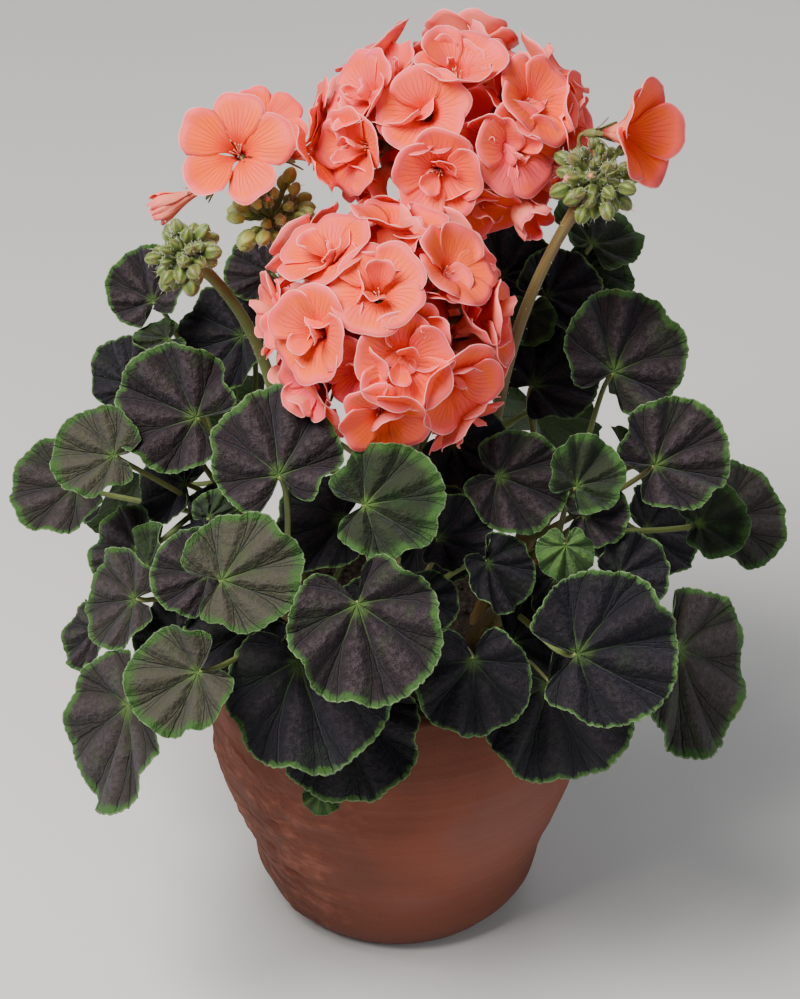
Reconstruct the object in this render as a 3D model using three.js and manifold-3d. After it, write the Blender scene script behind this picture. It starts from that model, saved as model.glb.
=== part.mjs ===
// Potted zonal geranium: a terracotta pot of soil, six leafy stems, and the florets they carry.
// Millimetres, +Z up, the origin at the centre of the pot's base, the front towards -Y.
import * as THREE from 'three';
import { mergeVertices } from 'three/addons/utils/BufferGeometryUtils.js';
import Module from 'manifold-3d';

const wasm = await Module();
wasm.setup();

// Terracotta pot: the radius at each height, outside from base to rim and inside from rim to floor
const POT_OUTER = [
  [49, 0], [58, 5], [64.5, 15], [69, 35], [77, 57], [83, 78], [85, 98], [84.5, 122], [80, 147],
];
const POT_INNER = [[73, 147], [77.5, 118], [75, 78], [62, 35], [48, 9]];
const POT_HEIGHT = 150;
const RIM_ROUNDING = 2;
const DRAIN_RADIUS = 10;
const POT_SIDES = 24;

// Soil
const SOIL_TOP = 131;
const SOIL_RADIUS = 74;
const SOIL_MOUND = 5;
const FIT_GAP = 0.3;

// Stems, petioles and peduncles
const STEM_RADIUS = 5.5;
const STEM_SIDES = 6;
const STEM_STEPS = 3;
const STEM_ROOT_Z = 106;
const PETIOLE_RADIUS = 1.6;
const PETIOLE_SIDES = 3;
const PETIOLE_STEPS = 3;
const LOWEST_PETIOLE_SHARE = 0.45;
const PEDUNCLE_RADIUS = 2.4;
const PEDUNCLE_SIDES = 5;
const PEDUNCLE_STEPS = 5;
const PEDICEL_RADIUS = 1;
const CALYX_RADIUS = 2.1;
const CALYX_LENGTH = 7;
const CALYX_OVERLAP = 1.5;

// Leaf blade: a round outline of seven lobes about a hub behind its centre, with a notch behind the hub
const BLADE_THICKNESS = 0.9;
const HUB_SHARE = 0.36;
const SIDE_LOBES = 3;
const LOBE_STEP = 52;
const LOBE_GAP = 0.94;
const NOTCH_SHARE = 0.1;
const PLEAT = 0.05;
const RIPPLE = 0.07;
const RIPPLES_ROUND = 3;
const SEAT_SHARE = 0.2;

// Floret: five broad petals round a sunken throat
const PETALS = 5;
const PETAL_THICKNESS = 0.9;
const THROAT_DEPTH = 12;
const NOTCH_DEPTH = 3.8;
const NOTCH_RADIUS_SHARE = 0.42;
const PETAL_BELLY_SHARE = 0.62;
const SHOULDER_ANGLE = 26;
const PETAL_LIFT = 2.6;
const PETAL_ARCH = 1;
const HALF_OPEN_ANGLE = 38;

// Flower heads
const CORE_RADIUS = 39;
const HEAD_REACH = 45;
const HEAD_FLORET_RADIUS = 20;
const SOCKET_CLEARANCE = 1;
const SOCKET_DEPTH = 34;
const SOCKET_SIDES = 6;

// Buds
const BUD_RADIUS = 3;
const BUD_HALF_LENGTH = 5.8;
const BUD_CORE_SHARE = 0.85;
const UMBEL_HUB_RADIUS = 3.2;
const SHORT_PEDICEL_SHARE = 0.78;
const GOLDEN_ANGLE = 137.5;

const COLOURS = {
  terracotta: '#a8553a',
  soil: '#2c2019',
  foliage: '#3d4a33',
  petal: '#f08468',
};

const DEG = Math.PI / 180;
const UP = new THREE.Vector3(0, 0, 1);

function vector(place) {
  return new THREE.Vector3(...place);
}

// A direction from its turn about the pot's axis (0 is the front, 90 the right) and its height above level
function direction(turn, height) {
  const level = Math.cos(height * DEG);
  const [x, y] = [level * Math.sin(turn * DEG), -level * Math.cos(turn * DEG)];
  return new THREE.Vector3(x, y, Math.sin(height * DEG));
}

// Solids and meshes

function toSolid(geometry) {
  const bare = geometry.clone();
  bare.deleteAttribute('normal');
  bare.deleteAttribute('uv');
  const merged = mergeVertices(bare, 1e-4);
  return new wasm.Manifold(new wasm.Mesh({
    numProp: 3,
    vertProperties: new Float32Array(merged.attributes.position.array),
    triVerts: new Uint32Array(merged.index.array),
  }));
}

function join(solids) {
  return solids.reduce((whole, solid) => whole.add(solid));
}

// The outer body alone: a hollow that joining sealed is filled, and a loose scrap is dropped
function mainBody(solid) {
  return solid.decompose().reduce((best, piece) => (piece.volume() > best.volume() ? piece : best));
}

function toMesh(name, solid, colour, roughness) {
  const mesh = solid.getMesh();
  const geometry = new THREE.BufferGeometry();
  geometry.setAttribute('position', new THREE.BufferAttribute(new Float32Array(mesh.vertProperties), 3));
  geometry.setIndex(new THREE.BufferAttribute(new Uint32Array(mesh.triVerts), 1));
  geometry.computeVertexNormals();
  const material = new THREE.MeshStandardMaterial({ color: colour, roughness, metalness: 0 });
  const piece = new THREE.Mesh(geometry, material);
  piece.name = name;
  return piece;
}

function tube(curve, radius, sides, steps) {
  const section = new THREE.Shape();
  for (let side = 0; side < sides; side += 1) {
    const angle = (2 * Math.PI * side) / sides;
    const [x, y] = [radius * Math.cos(angle), radius * Math.sin(angle)];
    if (side === 0) section.moveTo(x, y);
    else section.lineTo(x, y);
  }
  section.closePath();
  return toSolid(new THREE.ExtrudeGeometry(section, { steps, extrudePath: curve, bevelEnabled: false }));
}

function ball(centre, radius, detail) {
  const geometry = new THREE.IcosahedronGeometry(radius, detail);
  geometry.translate(...centre.toArray());
  return toSolid(geometry);
}

// A thin blade from its middle surface: the same triangles on both faces, and a band round the rim
function blade(points, triangles, rim, lift) {
  const count = points.length;
  const positions = [...points, ...points].flatMap((point, index) => {
    const side = index < count ? 0.5 : -0.5;
    return point.clone().addScaledVector(lift, side).toArray();
  });
  const upper = triangles.flat();
  const lower = triangles.flatMap(([a, b, c]) => [a + count, c + count, b + count]);
  const band = rim.flatMap((here, index) => {
    const next = rim[(index + 1) % rim.length];
    return [here, here + count, next, next, here + count, next + count];
  });
  const geometry = new THREE.BufferGeometry();
  geometry.setAttribute('position', new THREE.BufferAttribute(new Float32Array(positions), 3));
  geometry.setIndex([...upper, ...lower, ...band]);
  return toSolid(geometry);
}

// Leaves

function leafFrame([x, y, z, , turn, tilt, spin]) {
  const face = direction(turn, tilt);
  const right = new THREE.Vector3().crossVectors(UP, face).normalize();
  const down = new THREE.Vector3().crossVectors(right, face);
  const tip = down.multiplyScalar(Math.cos(spin * DEG)).addScaledVector(right, Math.sin(spin * DEG));
  const side = new THREE.Vector3().crossVectors(face, tip);
  return { centre: new THREE.Vector3(x, y, z), face, tip, side };
}

// Height of the blade over its flat, as a share of its radius: a cup, a fold along the middle, pleats
// between the seven veins and a slow ripple, all growing from the hub (share 0) to the rim (share 1)
function bladeHeight(share, angle, cup, fold, phase) {
  const pleat = PLEAT * share * Math.cos((360 / LOBE_STEP) * angle * DEG);
  const ripple = RIPPLE * share * share * Math.sin((RIPPLES_ROUND * angle + phase) * DEG);
  const folded = fold * share * (Math.abs(Math.sin(angle * DEG)) - 0.4);
  return cup * (share * share - 0.3) + folded - pleat + ripple;
}

// A point of the blade: its share of the way from the hub to the outline, at that angle and reach
function bladePoint(row, order, share, angle, reach) {
  const [, , , radius, , , , cup, fold] = row;
  const frame = leafFrame(row);
  const along = reach * Math.cos(angle * DEG) + HUB_SHARE;
  const across = reach * Math.sin(angle * DEG);
  return frame.centre
    .addScaledVector(frame.tip, radius * (share * along - HUB_SHARE))
    .addScaledVector(frame.side, radius * share * across)
    .addScaledVector(frame.face, radius * bladeHeight(share, angle, cup, fold, order * GOLDEN_ANGLE));
}

function leafBlade(row, order) {
  const outline = [bladePoint(row, order, 1, 180, HUB_SHARE + NOTCH_SHARE)];
  for (let lobe = -SIDE_LOBES; lobe <= SIDE_LOBES; lobe += 1) {
    const angle = lobe * LOBE_STEP;
    if (lobe > -SIDE_LOBES) outline.push(bladePoint(row, order, 1, angle - LOBE_STEP / 2, LOBE_GAP));
    outline.push(bladePoint(row, order, 1, angle, 1));
  }
  const hub = bladePoint(row, order, 0, 0, 1);
  const rim = outline.map((_, index) => index + 1);
  const triangles = rim.map((here, index) => [0, here, rim[(index + 1) % rim.length]]);
  return blade([hub, ...outline], triangles, rim, leafFrame(row).face.multiplyScalar(BLADE_THICKNESS));
}

// A petiole leaves the stem outwards and upwards, and meets the blade from below, close to its hub
function petiole(from, row, order) {
  const { face, tip } = leafFrame(row);
  const rimTip = bladePoint(row, order, 1, 0, 1);
  const rimMiddle = rimTip.lerp(bladePoint(row, order, 1, LOBE_STEP / 2, LOBE_GAP), 0.5);
  const seat = bladePoint(row, order, 0, 0, 1).lerp(rimMiddle, SEAT_SHARE);
  const length = from.distanceTo(seat);
  const outwards = seat.clone().sub(from).setZ(0).normalize();
  const leaving = outwards.multiplyScalar(0.3 * length).addScaledVector(UP, 0.3 * length).add(from);
  const arriving = seat.clone().addScaledVector(face, -0.26 * length).addScaledVector(tip, -0.06 * length);
  const way = new THREE.CubicBezierCurve3(from, leaving, arriving, seat);
  return tube(way, PETIOLE_RADIUS, PETIOLE_SIDES, PETIOLE_STEPS);
}

// Florets

// One floret as a single cut blade. Its petal plane is centred on its place and faces along its direction.
function floret({ place, turn, tilt, spin, radius, open = 90 }) {
  const face = direction(turn, tilt);
  const right = new THREE.Vector3().crossVectors(UP, face).normalize();
  const over = new THREE.Vector3().crossVectors(face, right);
  const spread = Math.sin(open * DEG);
  const forward = Math.cos(open * DEG);
  const at = (share, angle, height) => {
    const around = (angle + spin) * DEG;
    const reach = radius * share * spread;
    return vector(place)
      .addScaledVector(right, reach * Math.cos(around))
      .addScaledVector(over, reach * Math.sin(around))
      .addScaledVector(face, height + radius * share * forward);
  };
  const points = [at(0, 0, -THROAT_DEPTH)];
  const triangles = [];
  const rim = [];
  const step = 360 / PETALS;
  for (let petal = 0; petal < PETALS; petal += 1) {
    const angle = petal * step;
    points.push(
      at(NOTCH_RADIUS_SHARE, angle - step / 2, -NOTCH_DEPTH),
      at(PETAL_BELLY_SHARE, angle, PETAL_ARCH),
      at(1, angle - SHOULDER_ANGLE, PETAL_LIFT),
      at(1, angle + SHOULDER_ANGLE, PETAL_LIFT),
    );
  }
  for (let petal = 0; petal < PETALS; petal += 1) {
    const [notch, belly, shoulder, farShoulder] = [1, 2, 3, 4].map((corner) => petal * 4 + corner);
    const nextNotch = ((petal + 1) % PETALS) * 4 + 1;
    triangles.push([0, notch, belly], [0, belly, nextNotch]);
    triangles.push([notch, shoulder, belly], [shoulder, farShoulder, belly], [farShoulder, nextNotch, belly]);
    rim.push(notch, shoulder, farShoulder);
  }
  return blade(points, triangles, rim, face.multiplyScalar(PETAL_THICKNESS / spread));
}

// A dense head: florets standing out of a core, which has a plain socket for the end of its peduncle
function headPetals({ centre, stretch, florets, peduncleEnd, peduncleAxis }) {
  const middle = vector(centre);
  const core = new THREE.IcosahedronGeometry(CORE_RADIUS, 0);
  core.scale(...stretch);
  core.translate(...centre);
  const pieces = florets.map(([turn, height, spin, reach, open]) => {
    const away = direction(turn, height).multiply(vector(stretch)).multiplyScalar(HEAD_REACH * reach);
    const place = middle.clone().add(away).toArray();
    return floret({ place, turn, tilt: height, spin, radius: HEAD_FLORET_RADIUS, open });
  });
  const end = vector(peduncleEnd);
  const axis = vector(peduncleAxis).normalize();
  const way = new THREE.LineCurve3(
    end.clone().addScaledVector(axis, -SOCKET_DEPTH),
    end.clone().addScaledVector(axis, FIT_GAP),
  );
  const socket = tube(way, PEDUNCLE_RADIUS + SOCKET_CLEARANCE, SOCKET_SIDES, 1);
  return mainBody(join([toSolid(core), ...pieces]).subtract(socket));
}

// Umbels of buds

function bud(centre, axis) {
  const geometry = new THREE.OctahedronGeometry(1);
  geometry.scale(BUD_RADIUS, BUD_HALF_LENGTH, BUD_RADIUS);
  geometry.applyQuaternion(new THREE.Quaternion().setFromUnitVectors(new THREE.Vector3(0, 1, 0), axis));
  geometry.translate(...centre.toArray());
  return toSolid(geometry);
}

// Buds spiral out from the umbel's axis. With a core they stand close on it, else each has a pedicel.
function budUmbel({ hub, axis, buds, spread, reach, core }) {
  const middle = vector(hub);
  const turnToAxis = new THREE.Quaternion().setFromUnitVectors(UP, vector(axis).normalize());
  const pieces = [ball(middle, core ? reach * BUD_CORE_SHARE : UMBEL_HUB_RADIUS, 0)];
  for (let index = 0; index < buds; index += 1) {
    const polar = spread * Math.sqrt((index + 0.5) / buds);
    const away = direction(index * GOLDEN_ANGLE, 90 - polar).applyQuaternion(turnToAxis);
    const far = reach * (core || index % 2 ? 1 : SHORT_PEDICEL_SHARE);
    const centre = middle.clone().addScaledVector(away, far);
    pieces.push(bud(centre, away));
    if (!core) pieces.push(tube(new THREE.LineCurve3(middle, centre), PEDICEL_RADIUS, 3, 1));
  }
  return pieces;
}

// The green stalk and calyx under a single floret; the throat stands just clear of the calyx's end
function floretStalk({ from, place, turn, tilt }) {
  const face = direction(turn, tilt);
  const seat = vector(place).addScaledVector(face, -(THROAT_DEPTH + PETAL_THICKNESS + FIT_GAP));
  const calyxRoot = seat.clone().addScaledVector(face, -CALYX_LENGTH);
  const length = vector(from).distanceTo(calyxRoot);
  const bend = calyxRoot.clone().addScaledVector(face, -0.4 * length);
  const way = new THREE.QuadraticBezierCurve3(vector(from), bend, calyxRoot);
  const calyx = new THREE.LineCurve3(calyxRoot.clone().addScaledVector(face, -CALYX_OVERLAP), seat);
  return tube(way, PEDICEL_RADIUS, 3, 3).add(tube(calyx, CALYX_RADIUS, 5, 1));
}

// The leaves behind the plant stand in three tiers, each spread evenly over its arc
const BACK_TIERS = [
  { leaves: 5, from: 122, to: 238, reach: 140.4, height: 178, radius: 33, tilt: 28 },
  { leaves: 4, from: 128, to: 232, reach: 120, height: 228, radius: 31, tilt: 42 },
  { leaves: 2, from: 160, to: 205, reach: 88, height: 266, radius: 27, tilt: 60 },
];

function backLeaves() {
  return BACK_TIERS.flatMap((tier, level) => Array.from({ length: tier.leaves }, (_, index) => {
    const turn = tier.from + ((tier.to - tier.from) * index) / (tier.leaves - 1);
    const away = direction(turn, 0).multiplyScalar(tier.reach);
    const swing = 30 * Math.sin((index + 1) * (level + 2) * GOLDEN_ANGLE * DEG);
    return [away.x, away.y, tier.height + swing / 4, tier.radius, turn, tier.tilt, swing, 0.06, 0.1];
  }));
}

// Leafy stems. Each leaf row gives the blade's centre (x, y, z), its radius, the way its face looks (turn
// about the pot's axis, height above level), its tip's spin from straight down towards the right, its cup
// and its fold. Each floret gives where its stalk leaves the umbel, its place and the way it faces.
const STEMS = [
  {
    name: 'stem_front',
    foot: [0, -24],
    tip: [-4, -60, 206],
    leaves: [
      [-20, -100, 161, 31, 0, 20, 10, 0.1, 0],
      [-4, -82, 200, 26, 0, 45, 0, 0.1, 0.1],
      [31, -119, 203, 24, 4, 30, 0, -0.1, 0.1],
      [-12, -136, 241, 31, -4, 44, 20, 0.05, 0.05],
      [13, -96, 226, 13, 10, 40, 60, 0.1, 0],
      [41, -88, 234, 17, 40, 35, 20, 0.1, 0.3],
      [23, -74, 244, 17, -20, 50, 120, 0.1, 0.3],
      [18, -48, 226, 22, 10, 50, 60, 0.1, 0.1],
      [-4, -96, 275, 24, 0, 42, 100, 0.05, 0],
      [30, -18, 248, 20, 10, 50, 60, 0.1, 0.1],
    ],
    peduncles: [{ end: [-5, -32, 296], axis: [0, 0.1, 1], share: 0.8 }],
    umbels: [],
    florets: [],
  },
  {
    name: 'stem_front_left',
    foot: [-24, -14],
    tip: [-50, -62, 200],
    leaves: [
      [-37, -108, 190, 33, -12, 45, 25, -0.1, 0.1],
      [-87, -122, 205, 23, -20, 40, -50, 0.12, 0.1],
      [-67, -66, 188, 26, -35, 42, -40, 0.1, 0.1],
      [-83, -84, 232, 19, -30, 40, -80, 0.1, 0.1],
      [-30, -46, 230, 22, -20, 52, -60, 0.1, 0.1],
      [-61, -108, 249, 25, -8, 44, 115, 0.08, 0.05],
      [-74, -66, 250, 10, -20, 60, 150, 0.1, 0.1],
      [-49, -66, 279, 28, -22, 44, -155, 0.05, 0.08],
    ],
    peduncles: [],
    umbels: [],
    florets: [],
  },
  {
    name: 'stem_left',
    foot: [-32, 14],
    tip: [-76, -2, 214],
    leaves: [
      [-116, -100, 162, 35, -62, 25, 5, 0.05, 0.15],
      [-134, -40, 167, 16, -60, 30, -30, 0.1, 0],
      [-81, -25, 214, 24, -80, 45, -60, 0.1, 0.1],
      [-116, -58, 199, 22, -50, 35, -60, 0, 0.3],
      [-105, -36, 206, 16, -70, 20, 180, 0.1, 0.1],
      [-149, 20, 205, 24, -25, 55, -70, 0.05, 0.05],
      [-127, -15, 245, 21, -25, 48, -85, 0.1, 0.2],
      [-94, -5, 261, 28, -15, 38, -105, 0.05, 0.15],
      [-119, 25, 260, 17, -40, 30, -120, 0.1, 0],
      [-103, 35, 270, 12, -10, 70, -60, 0.1, 0],
      [-109, 55, 286, 19, -30, 38, -140, 0.2, 0.1],
      [-76, 50, 262, 24, -30, 45, -60, 0.1, 0.1],
      [-97, 6, 219, 22, -60, 40, -80, 0.1, 0.1],
      [-118, -13, 195, 19, -50, 45, -70, 0.1, 0.1],
      [-98, -58, 178, 19, -50, 35, -50, 0.1, 0.1],
    ],
    peduncles: [
      { end: [-84, -3, 332], axis: [-0.6, -0.3, 0.75], share: 0.5 },
      { end: [-52, 30, 332], axis: [-0.2, 0.1, 1], share: 0.4 },
    ],
    umbels: [
      { hub: [-87, -5, 335], axis: [-0.6, -0.3, 0.7], buds: 16, spread: 125, reach: 13, core: true },
      { hub: [-52, 30, 334], axis: [-0.1, -0.2, 1], buds: 11, spread: 118, reach: 19, core: false },
    ],
    florets: [
      {
        name: 'floret_left_open',
        from: [-52, 30, 334],
        place: [-66, 20, 370],
        turn: -12,
        tilt: 40,
        spin: 18,
        radius: 26,
      },
      {
        name: 'floret_left_behind',
        from: [-52, 30, 334],
        place: [-55, 51, 366],
        turn: 20,
        tilt: 50,
        spin: 30,
        radius: 18,
      },
      {
        name: 'floret_left_side',
        from: [-52, 30, 334],
        place: [-34, 22, 369],
        turn: 78,
        tilt: 20,
        spin: 0,
        radius: 20,
      },
      {
        name: 'floret_left_half',
        from: [-52, 30, 334],
        place: [-87, 24, 347],
        turn: -75,
        tilt: -5,
        spin: 0,
        radius: 17,
        open: HALF_OPEN_ANGLE,
      },
    ],
  },
  {
    name: 'stem_front_right',
    foot: [24, -14],
    tip: [54, -54, 200],
    leaves: [
      [68, -100, 174, 34, 15, 20, 20, 0.05, 0],
      [123, -85, 181, 36, 55, 25, 10, 0.05, 0.15],
      [56, -75, 184, 26, 35, 42, 40, 0.1, 0.1],
      [66, -76, 218, 13, 10, 40, 0, 0.1, 0],
      [97, -75, 226, 17, 30, 40, 90, 0.1, 0],
      [83, -122, 222, 32, 12, 42, 95, 0.02, 0.1],
      [82, -66, 248, 14, 10, 40, 90, 0.1, 0],
      [68, -92, 246, 12, 0, 20, 0, -0.3, 0],
      [49, -62, 261, 22, 8, 42, 65, 0.05, 0.1],
      [77, -59, 263, 17, 20, 40, 130, 0.1, 0.4],
    ],
    peduncles: [],
    umbels: [],
    florets: [],
  },
  {
    name: 'stem_right',
    foot: [32, 14],
    tip: [74, 2, 214],
    leaves: [
      [86, -8, 206, 26, 70, 45, 60, 0.1, 0.1],
      [149.25, 0, 203, 25, 40, 45, 80, 0.05, 0.05],
      [135, -22, 215, 17, 20, 45, 90, 0.25, 0],
      [115, -38, 259, 25, 12, 46, 112, 0.1, 0.15],
      [97, 15, 277, 28, 20, 40, 140, 0.05, 0.25],
      [58, 45, 275, 12, 0, 20, 0, 0.1, 0.2],
      [66, 40, 251, 24, 15, 50, 120, 0.1, 0.1],
      [117, 18, 183, 22, 60, 40, 60, 0.1, 0.1],
    ],
    peduncles: [{ end: [78, 3, 361], axis: [0.5, 0.05, 0.85], share: 0.3 }],
    umbels: [
      { hub: [81, 3, 366], axis: [0.25, -0.35, 0.9], buds: 15, spread: 128, reach: 16, core: true },
    ],
    florets: [
      {
        name: 'floret_right_side',
        from: [81, 3, 366],
        place: [94, -3, 390],
        turn: 62,
        tilt: 22,
        spin: 18,
        radius: 23,
      },
    ],
  },
  {
    name: 'stem_back',
    foot: [0, 34],
    tip: [8, 58, 226],
    leaves: [
      ...backLeaves(),
      [91, 82, 278, 17, 30, 60, 60, -0.2, 0.2],
      [-60, 60, 293, 17, -30, 50, -100, 0.1, 0.3],
      [89, 95, 291, 22, 60, 60, 110, 0.1, 0.1],
      [72, 62, 280, 20, 20, 50, 100, 0.1, 0.1],
      [50, 82, 283, 20, 10, 55, 150, 0.1, 0.1],
    ],
    peduncles: [{ end: [22, 46, 346], axis: [0, 0, 1], share: 0.85 }],
    umbels: [],
    florets: [],
  },
];

// Each floret of a head: its place round the umbel (turn, height), its spin, its reach as a share and,
// where it is half open, its opening angle
const HEADS = [
  {
    name: 'head_front',
    centre: [-5, -32, 316],
    stretch: [1, 1, 0.98],
    peduncleEnd: [-5, -32, 296],
    peduncleAxis: [0, 0.1, 1],
    florets: [
      [-40, 22, 10, 1], [-4, 50, 40, 1.02], [10, 14, 20, 0.96], [0, -16, 50, 1.03], [38, -6, 0, 1],
      [66, 50, 30, 1], [84, 10, 60, 0.98], [-72, 60, 0, 1], [150, 76, 20, 0.96], [-84, 12, 45, 0.95],
      [-50, -26, 30, 0.94], [52, -36, 15, 1.02], [132, 30, 10, 1], [-130, 34, 25, 1], [178, 22, 50, 1],
      [112, -22, 35, 0.98], [-140, -22, 40, 0.98],
    ],
  },
  {
    name: 'head_back',
    centre: [23, 45, 364],
    stretch: [1.16, 0.95, 0.86],
    peduncleEnd: [22, 46, 346],
    peduncleAxis: [0, 0, 1],
    florets: [
      [-6, 8, 15, 1.03], [-18, 42, 35, 0.98], [30, 18, 0, 1], [54, 40, 25, 1], [8, 72, 50, 1],
      [-48, 12, 40, 1], [-62, 42, 10, 1], [-90, 10, 30, 1.05], [-25, -26, 20, 0.95], [78, 16, 55, 0.98],
      [10, -22, 30, 0.94], [112, 36, 15, 1], [168, 44, 45, 1], [-125, 46, 5, 1], [124, -6, 25, 1],
      [172, -2, 0, 1], [-130, -6, 50, 1], [34, -20, 0, 0.88, HALF_OPEN_ANGLE],
    ],
  },
];

function stemCurve({ foot: [x, y], tip }) {
  const knee = [x * 1.25, y * 1.25, (STEM_ROOT_Z + tip[2]) / 2];
  return new THREE.QuadraticBezierCurve3(vector([x, y, STEM_ROOT_Z]), vector(knee), vector(tip));
}

function peduncle(stem, { end, axis, share }) {
  const start = stemCurve(stem).getPoint(share);
  const length = start.distanceTo(vector(end));
  const rising = start.clone().addScaledVector(UP, 0.35 * length);
  const arriving = vector(end).addScaledVector(vector(axis).normalize(), -0.35 * length);
  const way = new THREE.CubicBezierCurve3(start, rising, arriving, vector(end));
  return tube(way, PEDUNCLE_RADIUS, PEDUNCLE_SIDES, PEDUNCLE_STEPS);
}

function stemPieces(stem) {
  const curve = stemCurve(stem);
  const pieces = [tube(curve, STEM_RADIUS, STEM_SIDES, STEM_STEPS)];
  stem.leaves.forEach((row, order) => {
    const step = (order + 0.5) / stem.leaves.length;
    const share = LOWEST_PETIOLE_SHARE + (1 - LOWEST_PETIOLE_SHARE) * step;
    pieces.push(leafBlade(row, order), petiole(curve.getPoint(share), row, order));
  });
  stem.peduncles.forEach((one) => pieces.push(peduncle(stem, one)));
  stem.umbels.forEach((umbel) => pieces.push(...budUmbel(umbel)));
  stem.florets.forEach((one) => pieces.push(floretStalk(one)));
  return pieces;
}

// Pot and soil

function potSolid() {
  const outer = POT_OUTER.map(([radius, height]) => new THREE.Vector2(radius, height));
  const inner = POT_INNER.map(([radius, height]) => new THREE.Vector2(radius, height));
  const floor = POT_INNER.at(-1)[1];
  const profile = [
    new THREE.Vector2(DRAIN_RADIUS, 0),
    ...outer,
    new THREE.Vector2(POT_OUTER.at(-1)[0] - RIM_ROUNDING, POT_HEIGHT),
    new THREE.Vector2(POT_INNER[0][0] + RIM_ROUNDING, POT_HEIGHT),
    ...inner,
    new THREE.Vector2(DRAIN_RADIUS, floor),
    new THREE.Vector2(DRAIN_RADIUS, 0),
  ];
  return toSolid(new THREE.LatheGeometry(profile, POT_SIDES)).rotate([90, 0, 0]);
}

// The soil follows the pot's inner wall; its top is mounded and lumpy inside the outer ring
function soilSolid(stemSolids) {
  const inner = POT_INNER.slice(1).reverse();
  const wall = inner.map(([radius, height]) => new THREE.Vector2(radius - FIT_GAP, height));
  wall[0].y += FIT_GAP;
  const profile = [
    new THREE.Vector2(0, wall[0].y),
    ...wall,
    new THREE.Vector2(SOIL_RADIUS, SOIL_TOP),
    new THREE.Vector2(SOIL_RADIUS * 0.6, SOIL_TOP + SOIL_MOUND * 0.8),
    new THREE.Vector2(0, SOIL_TOP + SOIL_MOUND),
  ];
  const geometry = new THREE.LatheGeometry(profile, POT_SIDES);
  const places = geometry.attributes.position;
  for (let index = 0; index < places.count; index += 1) {
    const [x, height, z] = [places.getX(index), places.getY(index), places.getZ(index)];
    const inside = Math.hypot(x, z) < SOIL_RADIUS - 2 && height > SOIL_TOP;
    const lump = 1.4 * Math.sin(0.31 * x + 1) * Math.cos(0.27 * z) + 0.9 * Math.sin(0.53 * (x - z));
    if (inside) places.setY(index, height + lump);
  }
  geometry.rotateX(Math.PI / 2);
  return mainBody(stemSolids.reduce((soil, hole) => soil.subtract(hole), toSolid(geometry)));
}

function stemHole(stem) {
  const curve = stemCurve(stem);
  const away = curve.getTangent(0).multiplyScalar(-FIT_GAP);
  const way = new THREE.QuadraticBezierCurve3(curve.v0.clone().add(away), curve.v1, curve.v2);
  return tube(way, STEM_RADIUS + 2 * FIT_GAP, STEM_SIDES, STEM_STEPS);
}

// The whole plant in its pot

const group = new THREE.Group();
group.add(toMesh('pot', potSolid(), COLOURS.terracotta, 0.85));
group.add(toMesh('soil', soilSolid(STEMS.map(stemHole)), COLOURS.soil, 0.95));
STEMS.forEach((stem) => {
  group.add(toMesh(stem.name, mainBody(join(stemPieces(stem))), COLOURS.foliage, 0.6));
  stem.florets.forEach((one) => group.add(toMesh(one.name, floret(one), COLOURS.petal, 0.55)));
});
HEADS.forEach((head) => group.add(toMesh(head.name, headPetals(head), COLOURS.petal, 0.55)));

export default group;
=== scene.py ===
"""Looks of a potted zonal geranium: fine leaves, petals, buds, stems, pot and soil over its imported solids.

Places and sizes below are in millimetres and degrees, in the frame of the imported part. A turn is measured
about the pot's axis, 0 at the front and 90 at the right, and a height above level.
"""

import logging
import math
from dataclasses import dataclass, field
from enum import Enum
from typing import Any

import bpy
import numpy as np
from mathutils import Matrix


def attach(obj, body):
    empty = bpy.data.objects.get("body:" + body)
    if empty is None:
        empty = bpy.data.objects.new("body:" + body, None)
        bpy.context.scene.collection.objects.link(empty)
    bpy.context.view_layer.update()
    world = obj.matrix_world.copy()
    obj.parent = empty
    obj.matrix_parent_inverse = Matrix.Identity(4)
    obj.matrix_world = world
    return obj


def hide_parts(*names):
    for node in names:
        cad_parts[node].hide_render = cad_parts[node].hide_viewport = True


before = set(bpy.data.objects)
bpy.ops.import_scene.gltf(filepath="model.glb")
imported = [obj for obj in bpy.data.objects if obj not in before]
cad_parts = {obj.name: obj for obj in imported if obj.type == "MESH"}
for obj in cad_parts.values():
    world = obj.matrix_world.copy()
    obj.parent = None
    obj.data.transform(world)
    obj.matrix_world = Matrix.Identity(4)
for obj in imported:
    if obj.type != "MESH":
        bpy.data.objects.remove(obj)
log = logging.getLogger("geranium")

MM = 0.001
GOLDEN_ANGLE = 137.5
UP = np.array([0.0, 0.0, 1.0])
Colour = Place = tuple[float, float, float]
Material = bpy.types.Material


# Directions and curves


def direction(turn: float, height: float) -> np.ndarray:
    """Gives the unit vector at a turn about the pot's axis and a height above level."""
    turn, height = math.radians(turn), math.radians(height)
    return np.array([math.cos(height) * math.sin(turn), -math.cos(height) * math.cos(turn), math.sin(height)])


def unit(vectors: np.ndarray) -> np.ndarray:
    """Scales vectors, along the last axis, to length 1."""
    return vectors / np.maximum(np.linalg.norm(vectors, axis=-1, keepdims=True), 1e-9)


def smooth(values: np.ndarray, low: float, high: float) -> np.ndarray:
    """Rises from 0 at low to 1 at high along 3t^2 - 2t^3."""
    share = np.clip((values - low) / (high - low), 0.0, 1.0)
    return share * share * (3 - 2 * share)


def bezier(controls: list, share: np.ndarray) -> np.ndarray:
    """Points of a Bezier curve: its control points weighted by the Bernstein polynomials.

    Args:
        controls: The control points.
        share: The parameter of each wanted point, from 0 to 1.

    Returns:
        One point for each share.
    """
    degree = len(controls) - 1
    weights = [math.comb(degree, k) * share**k * (1 - share) ** (degree - k) for k in range(degree + 1)]
    return np.stack(weights, axis=-1) @ np.array(controls, float)


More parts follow.
